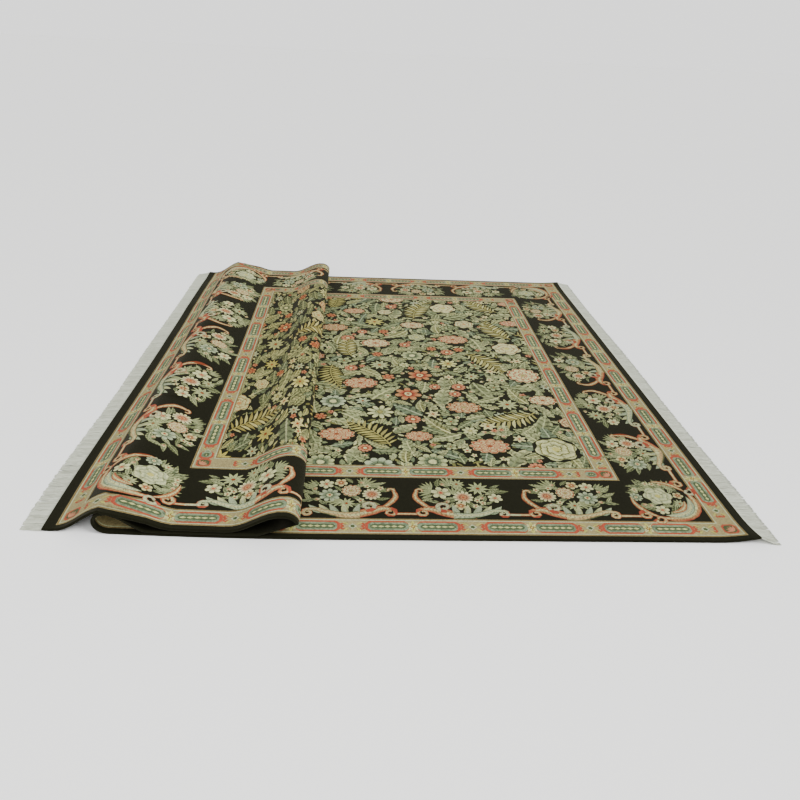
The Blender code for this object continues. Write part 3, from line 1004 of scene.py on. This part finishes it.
def cut_cloth(shapes, lines_u, lines_v, tolerance):
    """Triangulates the flat cloth along the mesh lines and the outlines that show.

    All outlines are cut first, and each triangle finds its topmost shape. Only the edges
    between different shapes are kept, thinned, and cut again together with the mesh lines.
    Gives the points, the triangles, the shape's number over each, and the rim's points.
    """
    low_u, high_u = np.full(len(lines_v), lines_u[0]), np.full(len(lines_v), lines_u[-1])
    low_v, high_v = np.full(len(lines_u), lines_v[0]), np.full(len(lines_u), lines_v[-1])
    loop = np.concatenate([
        np.stack([lines_u, low_v], 1)[:-1], np.stack([high_u, lines_v], 1)[:-1],
        np.stack([lines_u, high_v], 1)[:0:-1], np.stack([low_u, lines_v], 1)[:0:-1]])
    nu, nv, rim_size = len(lines_u) - 1, len(lines_v) - 1, len(loop)
    rim_edges = np.stack([np.arange(rim_size), (np.arange(rim_size) + 1) % rim_size], 1)
    across, up = np.arange(1, nu), np.arange(1, nv)
    line_edges = np.concatenate([rim_edges, np.stack([across, 2 * nu + nv - across], 1),
                                 np.stack([nu + up, 2 * nu + 2 * nv - up], 1)])

    sizes = np.array([len(shape.outline) for shape in shapes])
    ends = np.cumsum(sizes)
    number = np.arange(ends[-1])
    following = number + 1
    following[ends - 1] = ends - sizes
    points, triangles, _ = triangulated(
        np.concatenate([loop] + [shape.outline for shape in shapes]),
        np.concatenate([rim_edges, rim_size + np.stack([number, following], 1)]))
    top = topmost_shape(shapes, points[triangles].mean(axis=1))

    sides = np.concatenate([triangles[:, [0, 1]], triangles[:, [1, 2]], triangles[:, [2, 0]]])
    owner = np.tile(top, 3)
    key = np.sort(sides, axis=1) @ np.array([len(points), 1])
    order = np.argsort(key, kind="stable")
    twin = np.flatnonzero(key[order][1:] == key[order][:-1])
    shown = twin[owner[order[twin]] != owner[order[twin + 1]]]
    shown = thinned(points, sides[order[shown]], tolerance)

    used, packed = np.unique(shown, return_inverse=True)
    points, triangles, numbers = triangulated(
        np.concatenate([loop, points[used]]),
        np.concatenate([line_edges, rim_size + packed.reshape(-1, 2)]))
    top = topmost_shape(shapes, points[triangles].mean(axis=1))
    return points, triangles, top, numbers[:rim_size]


def own_frame(shapes, uv, triangles, topmost):
    """Each triangle corner's place in the frame of its own shape, as x, y and the figure.

    The placing is undone, then the bend: x less bend * y^2, over the half width. In a ribbon,
    y is the share of its path at the nearest point of it, and x the distance from there.
    """
    inverse = np.array([np.eye(3)] + [np.linalg.inv(s.placing) for s in shapes])[topmost + 1]
    own = np.array([(0.0, 1.0, PLAIN)] + [(s.bend, s.wide, s.figure) for s in shapes])
    bend, wide, figure = own[topmost + 1].T
    flat = np.concatenate([uv[triangles], np.ones((len(triangles), 3, 1))], axis=-1)
    x, y, _ = np.moveaxis(np.einsum("tij,tkj->tki", inverse, flat), -1, 0)
    x = (x - bend[:, None] * y ** 2) / wide[:, None]
    for number in np.unique(topmost[(topmost >= 0) & (figure == RIBBON)]):
        mine, path = topmost == number, shapes[number].path
        start, run = path[:-1, :2], np.diff(path[:, :2], axis=0)
        corner = uv[triangles[mine]][:, :, None, :] - start
        share = np.clip((corner * run).sum(axis=-1) / (run ** 2).sum(axis=-1), 0.0, 1.0)
        off = corner - share[..., None] * run
        near = np.argmin(np.hypot(off[..., 0], off[..., 1]), axis=-1)
        share, off = (np.take_along_axis(share, near[..., None], 2)[..., 0],
                      np.take_along_axis(off, near[..., None, None], 2)[:, :, 0, :])
        along = run[near] / np.hypot(*run.T)[near][..., None]
        side = along[..., 0] * off[..., 1] - along[..., 1] * off[..., 0]
        half = path[near, 2] * (1 - share) + path[near + 1, 2] * share
        x[mine], y[mine] = side / half, (near + share) / len(run)
    return np.stack([x, y, np.broadcast_to(figure[:, None], x.shape)], axis=-1)


def cloth_normals(uv, side, step=0.002):
    """The surface's direction, at right angles to its two small steps along u and v."""
    u, v = uv.T
    along = cloth(u + step, v, side) - cloth(u - step, v, side)
    across = cloth(u, v + step, side) - cloth(u, v - step, side)
    normal = np.cross(across, along) * side
    return normal / np.linalg.norm(normal, axis=1)[:, None]


lines_u, lines_v = mesh_lines()
reaches = [np.ptp(s.outline, axis=0).min() for s in design]
hidden = [HIDDEN[0] < s.outline[:, 0].min() and s.outline[:, 0].max() < HIDDEN[1] for s in design]
pile_shapes = [s for s, reach, out in zip(design, reaches, hidden)
               if reach > (HIDDEN_LEAST if out else PILE_LEAST) and (s.level == 0 or not out)]
back_shapes = [s for s, reach in zip(design, reaches) if s.level == 0 and reach > BACK_LEAST]
pile_uv, pile_faces, pile_top, pile_rim = cut_cloth(pile_shapes, lines_u, lines_v, PILE_TOLERANCE)
back_uv, back_faces, back_top, back_rim = cut_cloth(back_shapes, lines_u, lines_v, BACK_TOLERANCE)

# The selvedge: rows of points round the edge, from the pile's rim to the back's.
loop = pile_uv[pile_rim]
outward = (loop > (RUG_LENGTH - 1.5 * EDGE, RUG_WIDTH - 1.5 * EDGE)).astype(float)
outward -= loop < 1.5 * EDGE
rim_centre = cloth(loop[:, 0], loop[:, 1], 0.0)
rim_flat, rim_points, rim_normals = [], [], []
for inset, side in SELVEDGE_ROWS:
    rim_flat.append(loop + outward * (EDGE - inset))
    rim_points.append(cloth(*rim_flat[-1].T, side))
    away = rim_points[-1] - rim_centre
    rim_normals.append(away / np.linalg.norm(away, axis=1)[:, None])

count_pile, count_back, count_loop = len(pile_uv), len(back_uv), len(loop)
flat_points = np.concatenate([pile_uv, back_uv, *rim_flat])
points = np.concatenate([cloth(*pile_uv.T, 1.0), cloth(*back_uv.T, -1.0), *rim_points])
normals = np.concatenate([cloth_normals(pile_uv, 1.0), cloth_normals(back_uv, -1.0),
                          *rim_normals])
rings = [pile_rim] + [count_pile + count_back + k * count_loop + np.arange(count_loop)
                      for k in range(len(SELVEDGE_ROWS))] + [count_pile + back_rim]
rim_faces = []
for upper, lower in zip(rings[:-1], rings[1:]):
    after_upper, after_lower = np.roll(upper, -1), np.roll(lower, -1)
    rim_faces += [np.stack([upper, after_upper, after_lower], 1),
                  np.stack([upper, after_lower, lower], 1)]
triangles = np.concatenate([pile_faces[:, ::-1], back_faces + count_pile, *rim_faces])
on_pile = slice(0, len(pile_faces))
on_back = slice(on_pile.stop, on_pile.stop + len(back_faces))
on_rim = slice(on_back.stop, None)

mesh = bpy.data.meshes.new("rug")
mesh.from_pydata(points.tolist(), [], triangles.tolist())


def on_corners(name, kind, part, values):
    """Keeps a value for each corner of each triangle as one of the mesh's attributes."""
    mesh.attributes.new(name, kind, "CORNER").data.foreach_set(part, values.ravel())


own = np.zeros(len(triangles), dtype=int)
own[on_pile] = pile_top + 1
dyes = np.array([(BLACK,) * 3] + [(s.root, s.end, s.line) for s in pile_shapes])[own]
dyes[on_back] = np.array([BLACK] + [s.end for s in back_shapes])[back_top + 1][:, None, :]
for i, name in enumerate(("root dye", "end dye", "line dye")):
    dyed = np.column_stack([dyes[:, i], np.ones(len(triangles))])
    on_corners(name, "FLOAT_COLOR", "color", dyed.repeat(3, axis=0))
spot = np.zeros((len(triangles), 3, 3))
spot[on_pile] = own_frame(pile_shapes, pile_uv, pile_faces, pile_top)[:, ::-1]
on_corners("own place", "FLOAT_VECTOR", "vector", spot)
on_corners("repeats", "FLOAT", "value",
           np.array([1.0] + [s.count for s in pile_shapes])[own].repeat(3))
mesh.uv_layers.new(name="cloth").data.foreach_set("uv", flat_points[triangles].ravel())

# The bake's own map: the pile over most of it, the back in a strip above the pile, and the
# selvedge in thin bands above that, one for each row of its triangles.
BAKE_MARGIN = 0.01
BACK_STRIP = (0.755, 0.955)
BAND, BAND_GAP, FIRST_BAND = 0.005, 0.001, 0.962
bake = flat_points / RUG_LENGTH * (1 - 2 * BAKE_MARGIN) + BAKE_MARGIN
bake[count_pile:count_pile + count_back, 1] = np.interp(back_uv[:, 1], (0, RUG_WIDTH), BACK_STRIP)
bake = bake[triangles]
left = np.arange(count_loop) / count_loop
right = left + 1.0 / count_loop
for k in range(len(rings) - 1):
    low = np.full(count_loop, FIRST_BAND + k * (BAND + BAND_GAP))
    high = low + BAND
    start = on_rim.start + 2 * k * count_loop
    bake[start:start + count_loop] = np.stack(
        [left, high, right, high, right, low], 1).reshape(-1, 3, 2)
    bake[start + count_loop:start + 2 * count_loop] = np.stack(
        [left, high, right, low, left, low], 1).reshape(-1, 3, 2)
mesh.uv_layers.new(name="OFBake").data.foreach_set("uv", bake.ravel())

slots = np.zeros(len(triangles), dtype=np.int32)
slots[on_back], slots[on_rim] = 1, 2
mesh.polygons.foreach_set("material_index", slots)
mesh.polygons.foreach_set("use_smooth", np.ones(len(triangles), dtype=bool))
mesh.normals_split_custom_set_from_vertices(normals.tolist())
rug = bpy.data.objects.new("rug_cloth", mesh)
bpy.context.scene.collection.objects.link(rug)


# The wool. Hand-spun and dyed in lots, so its colour drifts in bands from row to row, and flecks
# from knot to knot; the cut pile is matt with a soft bloom, and its knots stand in rows.

KNOT = 0.0026
ABRASH_WIDTH = 0.16              # across a band of one dye lot, along the rug
ABRASH_LENGTH = 4.0              # and along the band, across the rug
CLOUD_SCALE = 70.0               # clouds in a metre, each about a thumb wide
SWAY_SCALE = 60.0


def node(tree, kind, **values):
    """A shader node with some of its inputs or settings given by name."""
    made = tree.nodes.new(kind)
    for name, value in values.items():
        socket = name.replace("_", " ")
        if socket in made.inputs:
            made.inputs[socket].default_value = value
        else:
            setattr(made, name, value)
    return made


class Worked:
    """A value being worked out in a node tree: + - * / and the methods add maths nodes."""

    def __init__(self, tree, socket):
        self.tree, self.socket = tree, socket

    def by(self, operation, *others):
        """The value after a maths node's operation, with the others as its further inputs."""
        made = node(self.tree, "ShaderNodeMath", operation=operation)
        for slot, value in zip(made.inputs, (self,) + others):
            if isinstance(value, Worked):
                self.tree.links.new(value.socket, slot)
            else:
                slot.default_value = value
        return Worked(self.tree, made.outputs[0])

    def __add__(self, other):
        return self.by("ADD", other)

    def __sub__(self, other):
        return self.by("SUBTRACT", other)

    def __mul__(self, other):
        return self.by("MULTIPLY", other)

    def __truediv__(self, other):
        return self.by("DIVIDE", other)

    __radd__, __rmul__ = __add__, __mul__

    def __rsub__(self, other):
        return (self * -1.0) + other

    def size(self):
        """The value without its sign."""
        return self.by("ABSOLUTE")

    def step(self, low, high):
        """0 below low and 1 above high, with a soft step between."""
        made = node(self.tree, "ShaderNodeMapRange", interpolation_type="SMOOTHSTEP",
                    From_Min=low, From_Max=high)
        self.tree.links.new(self.socket, made.inputs["Value"])
        return Worked(self.tree, made.outputs[0])

    def dip(self, low, high):
        """1 below low and 0 above high, with a soft step between."""
        return 1.0 - self.step(low, high)


def new_group(name, inputs, outputs):
    """A node group with those sockets, each a name and a kind; and the two ends inside it."""
    tree = bpy.data.node_groups.new(name, "ShaderNodeTree")
    for way, sockets in (("INPUT", inputs), ("OUTPUT", outputs)):
        for socket, kind in sockets:
            tree.interface.new_socket(socket, in_out=way, socket_type="NodeSocket" + kind)
    given = tree.nodes.new("NodeGroupInput").outputs
    return tree, given, tree.nodes.new("NodeGroupOutput").inputs


def drawing_effect():
    """The group that draws in a shape: how much of its end dye and line dye, and the shade.

    Place is x and y in the shape's own frame, with the number of its figure as z. A leaf or a
    petal runs from (0, 0) to (0, 1) with its edges near x = +-1. A flower has the middle (0, 0)
    and a reach of 1, and lobe = |cos(repeats * angle / 2)|.
    """
    tree, given, result = new_group(
        "drawn knots", (("Place", "Vector"), ("Cloth", "Vector"), ("Repeats", "Float")),
        (("End", "Float"), ("Line", "Float"), ("Shade", "Float")))
    split = tree.nodes.new("ShaderNodeSeparateXYZ")
    tree.links.new(given["Place"], split.inputs[0])
    x, y, figure = (Worked(tree, socket) for socket in split.outputs)
    repeats = Worked(tree, given["Repeats"])

    # A weaver's lines wander by a knot or two.
    sway = node(tree, "ShaderNodeTexNoise", Scale=SWAY_SCALE, Detail=1.0)
    tree.links.new(given["Cloth"], sway.inputs["Vector"])
    split = tree.nodes.new("ShaderNodeSeparateColor")
    tree.links.new(sway.outputs["Color"], split.inputs[0])
    x = x + (Worked(tree, split.outputs[0]) - 0.5) * 0.22
    y = y + (Worked(tree, split.outputs[1]) - 0.5) * 0.12

    aside, reach = x.size(), (x * x + y * y).by("SQRT")
    angle = y.by("ARCTAN2", x)
    lobe = (angle * repeats * 0.5).by("COSINE").size()
    half = (y.by("MAXIMUM", 0.001).by("POWER", 0.85) * math.pi).by("SINE").by("MAXIMUM", 0.02)
    share_out = aside / half
    edge = share_out.step(0.80, 0.98)

    # Leaf: a rib that thins out, in the line dye; dark veins that slant forwards; one half in
    # shade; the end dye towards the tip and the rim; and a dark line round it.
    rib = (aside + y * 0.06).dip(0.05, 0.16)
    vein = ((y * repeats - aside * 0.75) * (2 * math.pi)).by("SINE").step(0.10, 0.85)
    leaf_end = (y * 0.75).by("MAXIMUM", share_out.step(0.45, 0.70))
    leaf_shade = vein * (1.0 - rib) * -0.50 + x.by("LESS_THAN", 0.0) * -0.18 + edge * -0.85

    # Petal: a streak from its root, and a darker edge.
    streak = aside.dip(0.10, 0.42) * y.dip(0.30, 0.75)

    # Scales: rings of round petals, each a line at its outer edge; ring = 3.3 * reach.
    ring = reach * 3.3
    along = ring.by("FRACT")
    turned = (angle * repeats * 0.5 + ring.by("FLOOR") * (0.5 * math.pi)).by("COSINE").size()
    scale_line = (along - turned.by("POWER", 0.7) * 0.55 - 0.30).size().dip(0.10, 0.25)

    # Rays: gaps between the petals, a ring round the heart, and the heart in the line dye.
    gap = lobe.dip(0.12, 0.42) * reach.step(0.22, 0.42)
    heart = reach.dip(0.20, 0.32)
    ray_shade = gap * -0.60 + (reach - 0.34).size().dip(0.02, 0.08) * -0.45

    # Rolled: a spiral of petal edges; wound = 3.1 * reach + angle / 2 pi + a wave.
    wound = reach * 3.1 + angle * (0.5 / math.pi) + (angle * repeats).by("SINE") * 0.14
    rolled = wound.by("FRACT")

    # Ribbon: a light streak along its middle, its edges in the line dye, dark flutes across.
    flute = ((y * repeats - aside * 0.90) * (2 * math.pi)).by("SINE").step(0.20, 0.90)
    border = aside.step(0.70, 0.90)

    end, line, shade = 0.0, 0.0, 0.0
    for number, its_end, its_line, its_shade in (
            (LEAF, leaf_end, rib, leaf_shade), (PETAL, y, streak, edge * -0.60),
            (SCALES, along, scale_line, (1.0 - along) * -0.15),
            (RAYS, reach.step(0.35, 0.85), heart, ray_shade),
            (ROLLED, rolled, rolled.dip(0.14, 0.34), (1.0 - rolled) * -0.25 + gap * -0.35),
            (HATCHED, y, y, ((x + y) * repeats).by("SINE") * 0.25),
            (RIBBON, aside.dip(0.10, 0.45), border, flute * (1.0 - border) * -0.42)):
        chosen = figure.by("COMPARE", float(number), 0.5)
        end, line, shade = (total + chosen * value for total, value in
                            ((end, its_end), (line, its_line), (shade, its_shade)))
    for name, value in (("End", end), ("Line", line), ("Shade", shade)):
        tree.links.new(value.socket, result[name])
    return tree


def wool_effect():
    """The group for knotted wool: dye in, drifted and flecked dye out, with the knots' height.

    The dye is scaled by 1 + shade + drift * (slow - 0.5) + fleck * (knot + cloud - 1), and the
    height is 1 - distance from the knot's middle + 0.6 * cloud.
    """
    tree, given, result = new_group(
        "knotted wool", (("Dye", "Color"), ("Place", "Vector"), ("Shade", "Float"),
                         ("Drift", "Float"), ("Fleck", "Float"), ("Knot Size", "Float")),
        (("Color", "Color"), ("Height", "Float")))
    link = tree.links.new
    shade, drift, fleck = (Worked(tree, given[name]) for name in ("Shade", "Drift", "Fleck"))

    # Drift: slow noise, far longer across the rug than along it, as lots of yarn run out.
    stretch = node(tree, "ShaderNodeMapping",
                   Scale=(1.0 / ABRASH_WIDTH, 1.0 / ABRASH_LENGTH, 1.0))
    link(given["Place"], stretch.inputs["Vector"])
    slow = node(tree, "ShaderNodeTexNoise", Scale=1.0, Detail=2.0, Roughness=0.5)
    link(stretch.outputs[0], slow.inputs["Vector"])

    # Flecks: one grey value for each knot, and a softer cloud of about a thumb's width.
    knots = node(tree, "ShaderNodeVectorMath", operation="DIVIDE")
    link(given["Place"], knots.inputs[0])
    link(given["Knot Size"], knots.inputs[1])
    knot = node(tree, "ShaderNodeTexVoronoi", Scale=1.0, Randomness=0.35)
    link(knots.outputs[0], knot.inputs["Vector"])
    split = tree.nodes.new("ShaderNodeSeparateColor")
    link(knot.outputs["Color"], split.inputs[0])
    soft = node(tree, "ShaderNodeTexNoise", Scale=CLOUD_SCALE, Detail=3.0, Roughness=0.6)
    link(given["Place"], soft.inputs["Vector"])
    grey, cloud = Worked(tree, split.outputs[0]), Worked(tree, soft.outputs[0])

    drifted = (Worked(tree, slow.outputs[0]) - 0.5) * drift
    value = (drifted + (grey + cloud - 1.0) * fleck) + (shade + 1.0)
    shaded = node(tree, "ShaderNodeVectorMath", operation="SCALE")
    link(given["Dye"], shaded.inputs[0])
    link(value.socket, shaded.inputs["Scale"])
    link(shaded.outputs[0], result["Color"])

    # Height: each knot is a low mound, highest at its middle.
    mound = 1.0 - Worked(tree, knot.outputs["Distance"])
    link((mound + cloud * 0.6).socket, result["Height"])
    return tree


DRAWN_KNOTS, KNOTTED_WOOL = drawing_effect(), wool_effect()


def new_material(name, **values):
    """A material, its node tree and its Principled shader, with some of that one's inputs."""
    material = bpy.data.materials.new(name)
    material.use_nodes = True
    shader = material.node_tree.nodes["Principled BSDF"]
    for socket, value in values.items():
        shader.inputs[socket.replace("_", " ")].default_value = value
    return material, material.node_tree, shader


def raised(tree, shader, height, strength, distance):
    """Lets a height stand out from a shader's surface by up to that distance."""
    bump = node(tree, "ShaderNodeBump", Strength=strength, Distance=distance)
    tree.links.new(height, bump.inputs["Height"])
    tree.links.new(bump.outputs[0], shader.inputs["Normal"])


def wool_material(name, drift, fleck, drawn, depth, sheen, dim):
    """A finish of knotted wool that takes its dyes from the cloth's own attributes.

    drawn lays the shapes' figures over the root dye, and dim scales the colour at the end.
    """
    material, tree, shader = new_material(
        name, Roughness=0.92, Specular_IOR_Level=0.05, Sheen_Weight=sheen, Sheen_Roughness=0.45,
        Sheen_Tint=(0.92, 0.86, 0.62, 1.0))
    link = tree.links.new
    dyed = node(tree, "ShaderNodeAttribute", attribute_name="root dye").outputs["Color"]
    place = node(tree, "ShaderNodeUVMap", uv_map="cloth").outputs["UV"]
    effect = node(tree, "ShaderNodeGroup", node_tree=KNOTTED_WOOL, Drift=drift, Fleck=fleck,
                  Knot_Size=KNOT)
    if drawn:
        drawing = node(tree, "ShaderNodeGroup", node_tree=DRAWN_KNOTS)
        own = node(tree, "ShaderNodeAttribute", attribute_name="own place")
        repeats = node(tree, "ShaderNodeAttribute", attribute_name="repeats")
        link(own.outputs["Vector"], drawing.inputs["Place"])
        link(repeats.outputs["Fac"], drawing.inputs["Repeats"])
        link(place, drawing.inputs["Cloth"])
        for layer, share in (("end dye", "End"), ("line dye", "Line")):
            over = node(tree, "ShaderNodeAttribute", attribute_name=layer)
            mix = node(tree, "ShaderNodeMix", data_type="RGBA")
            for value, slot in ((drawing.outputs[share], 0), (dyed, 6), (over.outputs["Color"], 7)):
                link(value, mix.inputs[slot])
            dyed = mix.outputs[2]
        link(drawing.outputs["Shade"], effect.inputs["Shade"])
    link(dyed, effect.inputs["Dye"])
    link(place, effect.inputs["Place"])
    faded = node(tree, "ShaderNodeVectorMath", operation="SCALE", Scale=dim)
    link(effect.outputs["Color"], faded.inputs[0])
    link(faded.outputs[0], shader.inputs["Base Color"])
    raised(tree, shader, effect.outputs["Height"], 0.6, depth)
    return material


# By name: drift, fleck, whether it is drawn on, the knots' height, sheen, and how dim it is.
for finish in (("wool pile", 0.30, 0.50, True, 0.0012, 0.05, 1.0),
               ("knotted back", 0.20, 0.30, False, 0.0008, 0.03, 0.62),
               ("overcast selvedge", 0.10, 0.30, False, 0.0012, 0.04, 0.95)):
    mesh.materials.append(wool_material(*finish))

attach(rug, "root")
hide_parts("rug")


# ------------------------------------------------------------------------------------------
# The fringes: the free ends of the cotton warps at both ends of the rug, off-white, laid out
# on the floor in a close row. Each warp is a soft tapered yarn, drawn together in small locks.

FRINGE_LENGTH = 0.070
FRINGE_RAGGED = 0.0022
FRINGE_WAVE = 0.003              # how much the row's outline waves
FRINGE_TUCK = 0.002              # how far a yarn's root is inside the cloth
YARNS = 1250
LOCKS = 230
LOCK_STRAY = 0.0022
YARN_STEPS = 6
YARN_WIDTH = 0.0050
YARN_HEIGHT = 0.0022
YARN_CURL = 0.0011
YARN_RISE = 0.0020
ROOT_HEIGHT = 0.0042
ABOVE_FLOOR = 0.0001
CORNER_PULL, CORNER_REACH = 0.013, 0.03      # the near right corner's yarns are pushed aside
FRINGE_SEED = 19
COTTON_SHADE, COTTON_LIGHT = (0.27, 0.28, 0.21), (0.50, 0.52, 0.42)


def fringe_mesh(name, at_left, rng):
    """A row of yarns, each a tube of four sides along a path of six points.

    Along the yarn t goes from 0 to 1: the reach is length * t, the height falls as
    root * (1 - t)^2 to the floor, and it strays sideways with t^1.5 towards its lock's middle,
    with a slow wander that neighbours share. The width is full to 0.83 and then tapers.
    """
    share = (np.arange(YARNS) + 0.5) / YARNS
    lock = np.floor(share * LOCKS).astype(int)
    lock_middle = (lock + 0.5) / LOCKS * RUG_WIDTH
    lock_stray = rng.normal(0.0, LOCK_STRAY, LOCKS)[lock]
    lock_length = rng.normal(0.0, 0.5 * FRINGE_RAGGED, LOCKS)[lock]
    wander = 0.0035 * np.sin(9.0 * share + 1.0) + 0.0030 * np.sin(31.0 * share)
    length = FRINGE_LENGTH + lock_length + rng.uniform(-0.4, 0.4, YARNS) * FRINGE_RAGGED
    length += FRINGE_WAVE * np.sin(13.0 * share + 0.6)
    t = np.linspace(0.0, 1.0, YARN_STEPS)
    v = share * RUG_WIDTH
    root = cloth(RUG_LENGTH if at_left else 0.0, v, 0.0)
    floor = root[:, 2] - 0.5 * THICKNESS
    outward = -1.0 if at_left else 1.0

    pull = (lock_middle - v)[:, None] * 0.22 + 0.6 * lock_stray[:, None] + wander[:, None]
    if not at_left:
        pull -= CORNER_PULL * np.exp(-v / CORNER_REACH)[:, None]
    curl = rng.normal(0.0, YARN_CURL, (YARNS, YARN_STEPS)) * (t > 0.1)
    x = root[:, :1] + outward * (length[:, None] * t - FRINGE_TUCK)
    y = root[:, 1:2] + pull * t ** 1.5 + curl
    rise = rng.uniform(0.0, YARN_RISE, (YARNS, 1)) * np.sin(np.pi * t)
    z = floor[:, None] * (1 - t) ** 2 + ROOT_HEIGHT * (1 - t) ** 2 + 0.5 * YARN_HEIGHT + rise
    taper = np.clip((1.08 - t) / 0.25, 0.45, 1.0)
    rings = [np.stack([x, y + a * YARN_WIDTH * taper, z + b * YARN_HEIGHT * taper], axis=-1)
             for a, b in ((-0.5, 0.0), (0.0, -0.5), (0.5, 0.0), (0.0, 0.5))]
    points = np.stack(rings, axis=2).reshape(-1, 3)
    points[:, 2] = np.maximum(points[:, 2], ABOVE_FLOOR)

    number = np.arange(YARNS * YARN_STEPS * 4).reshape(YARNS, YARN_STEPS, 4)
    after = np.roll(number, -1, axis=2)
    quads = np.stack([number[:, :-1], number[:, 1:], after[:, 1:], after[:, :-1]], axis=-1)
    faces = np.concatenate([quads.reshape(-1, 4), number[:, 0, ::-1], number[:, -1]])
    made = bpy.data.meshes.new(name)
    made.from_pydata(points.tolist(), [], (faces[:, ::-1] if at_left else faces).tolist())
    made.polygons.foreach_set("use_smooth", np.ones(len(made.polygons), dtype=bool))
    tone = rng.uniform(0.0, 1.0, YARNS)[:, None] * np.ones((1, YARN_STEPS * 4))
    tint = made.attributes.new("yarn", "FLOAT", "POINT")
    tint.data.foreach_set("value", (0.6 * tone + 0.4 * rng.uniform(0, 1, tone.shape)).ravel())
    return made


def cotton_material():
    """Undyed cotton yarn: off-white, a little greyer or yellower from warp to warp."""
    material, tree, shader = new_material("cotton warps", Roughness=0.9, Sheen_Weight=0.15)
    link = tree.links.new
    tone = node(tree, "ShaderNodeAttribute", attribute_name="yarn")
    place = tree.nodes.new("ShaderNodeTexCoord")
    fibre = node(tree, "ShaderNodeTexNoise", Scale=900.0, Detail=2.0)
    link(place.outputs["Object"], fibre.inputs["Vector"])
    mixed = Worked(tree, tone.outputs["Fac"]) + Worked(tree, fibre.outputs[0]) * 0.5
    ramp = tree.nodes.new("ShaderNodeValToRGB")
    for stop, position, colour in zip(ramp.color_ramp.elements, (0.2, 1.0),
                                      (COTTON_SHADE, COTTON_LIGHT)):
        stop.position, stop.color = position, (*colour, 1.0)
    link(mixed.socket, ramp.inputs[0])
    link(ramp.outputs[0], shader.inputs["Base Color"])
    raised(tree, shader, fibre.outputs[0], 0.5, 0.0006)
    return material


COTTON = cotton_material()
fringe_rng = np.random.default_rng(FRINGE_SEED)
for name, at_left in (("fringe_right", False), ("fringe_left", True)):
    made = fringe_mesh(name, at_left, fringe_rng)
    made.materials.append(COTTON)
    fringe = bpy.data.objects.new(name + "_yarns", made)
    bpy.context.scene.collection.objects.link(fringe)
    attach(fringe, "root")
    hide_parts(name)


# ------------------------------------------------------------------------------------------
# The setting: a plain pale floor, and the soft light of a studio: a broad light high on the
# right, a square one above in front, and a pale room all round.

FLOOR_REACH = 90.0
ROOM, HORIZON = 1.0, 1.61        # how bright the room is, overhead and at its horizon

floor_mesh = bpy.data.meshes.new("floor")
floor_mesh.from_pydata([(x * FLOOR_REACH, y * FLOOR_REACH, 0.0) for x, y in
                        ((-1, -1), (1, -1), (1, 1), (-1, 1))], [], [(0, 1, 2, 3)])
floor = bpy.data.objects.new("floor", floor_mesh)
bpy.context.scene.collection.objects.link(floor)
floor_mesh.materials.append(
    new_material("pale floor", Base_Color=(0.93, 0.93, 0.92, 1.0), Roughness=0.9)[0])

# The world is a plain pale room; round its horizon it is as bright as the lit floor.
world = bpy.data.worlds.new("studio")
world.use_nodes = True
sky = world.node_tree.nodes["Background"]
sky.inputs["Color"].default_value = (1.0, 1.0, 0.99, 1.0)
direction = world.node_tree.nodes.new("ShaderNodeTexCoord")
split = world.node_tree.nodes.new("ShaderNodeSeparateXYZ")
world.node_tree.links.new(direction.outputs["Generated"], split.inputs[0])
height = Worked(world.node_tree, split.outputs[2])
glow = height.size().dip(0.06, 0.30) * (HORIZON - ROOM) + ROOM
world.node_tree.links.new(glow.socket, sky.inputs["Strength"])
bpy.context.scene.world = world


def soft_light(name, kind, place, aim, power, **sizes):
    """A light that looks at a point."""
    data = bpy.data.lights.new(name, kind)
    data.energy = power
    for size, value in sizes.items():
        setattr(data, size, value)
    light = bpy.data.objects.new(name, data)
    light.location = place
    light.rotation_euler = (Vector(aim) - Vector(place)).to_track_quat("-Z", "Y").to_euler()
    bpy.context.scene.collection.objects.link(light)


soft_light("key light", "SUN", (3.0, -1.0, 3.4), (0.0, 0.2, 0.0), 3.1, angle=math.radians(24.0))
soft_light("front light", "AREA", (-0.4, -4.0, 3.0), (0.0, -0.4, 0.0), 88.0, size=3.0)

CAMERA_PLACE = Vector((-0.1763, -3.133, 1.4255))
CAMERA_YAW, CAMERA_PITCH, CAMERA_ROLL = (math.radians(a) for a in (3.98, 27.38, 2.99))
LENS, SENSOR = 31.19, 36.0       # millimetres
forward = Vector((math.sin(CAMERA_YAW) * math.cos(CAMERA_PITCH),
                  math.cos(CAMERA_YAW) * math.cos(CAMERA_PITCH), -math.sin(CAMERA_PITCH)))
level = Vector((math.cos(CAMERA_YAW), -math.sin(CAMERA_YAW), 0.0))
upright = level.cross(forward)
right = math.cos(CAMERA_ROLL) * level + math.sin(CAMERA_ROLL) * upright
up = -math.sin(CAMERA_ROLL) * level + math.cos(CAMERA_ROLL) * upright
camera_data = bpy.data.cameras.new("camera")
camera_data.lens, camera_data.sensor_width = LENS, SENSOR
camera = bpy.data.objects.new("camera", camera_data)
turned = Matrix((right, up, -forward)).transposed().to_4x4()
camera.matrix_world = Matrix.Translation(CAMERA_PLACE) @ turned
bpy.context.scene.collection.objects.link(camera)
bpy.context.scene.camera = camera
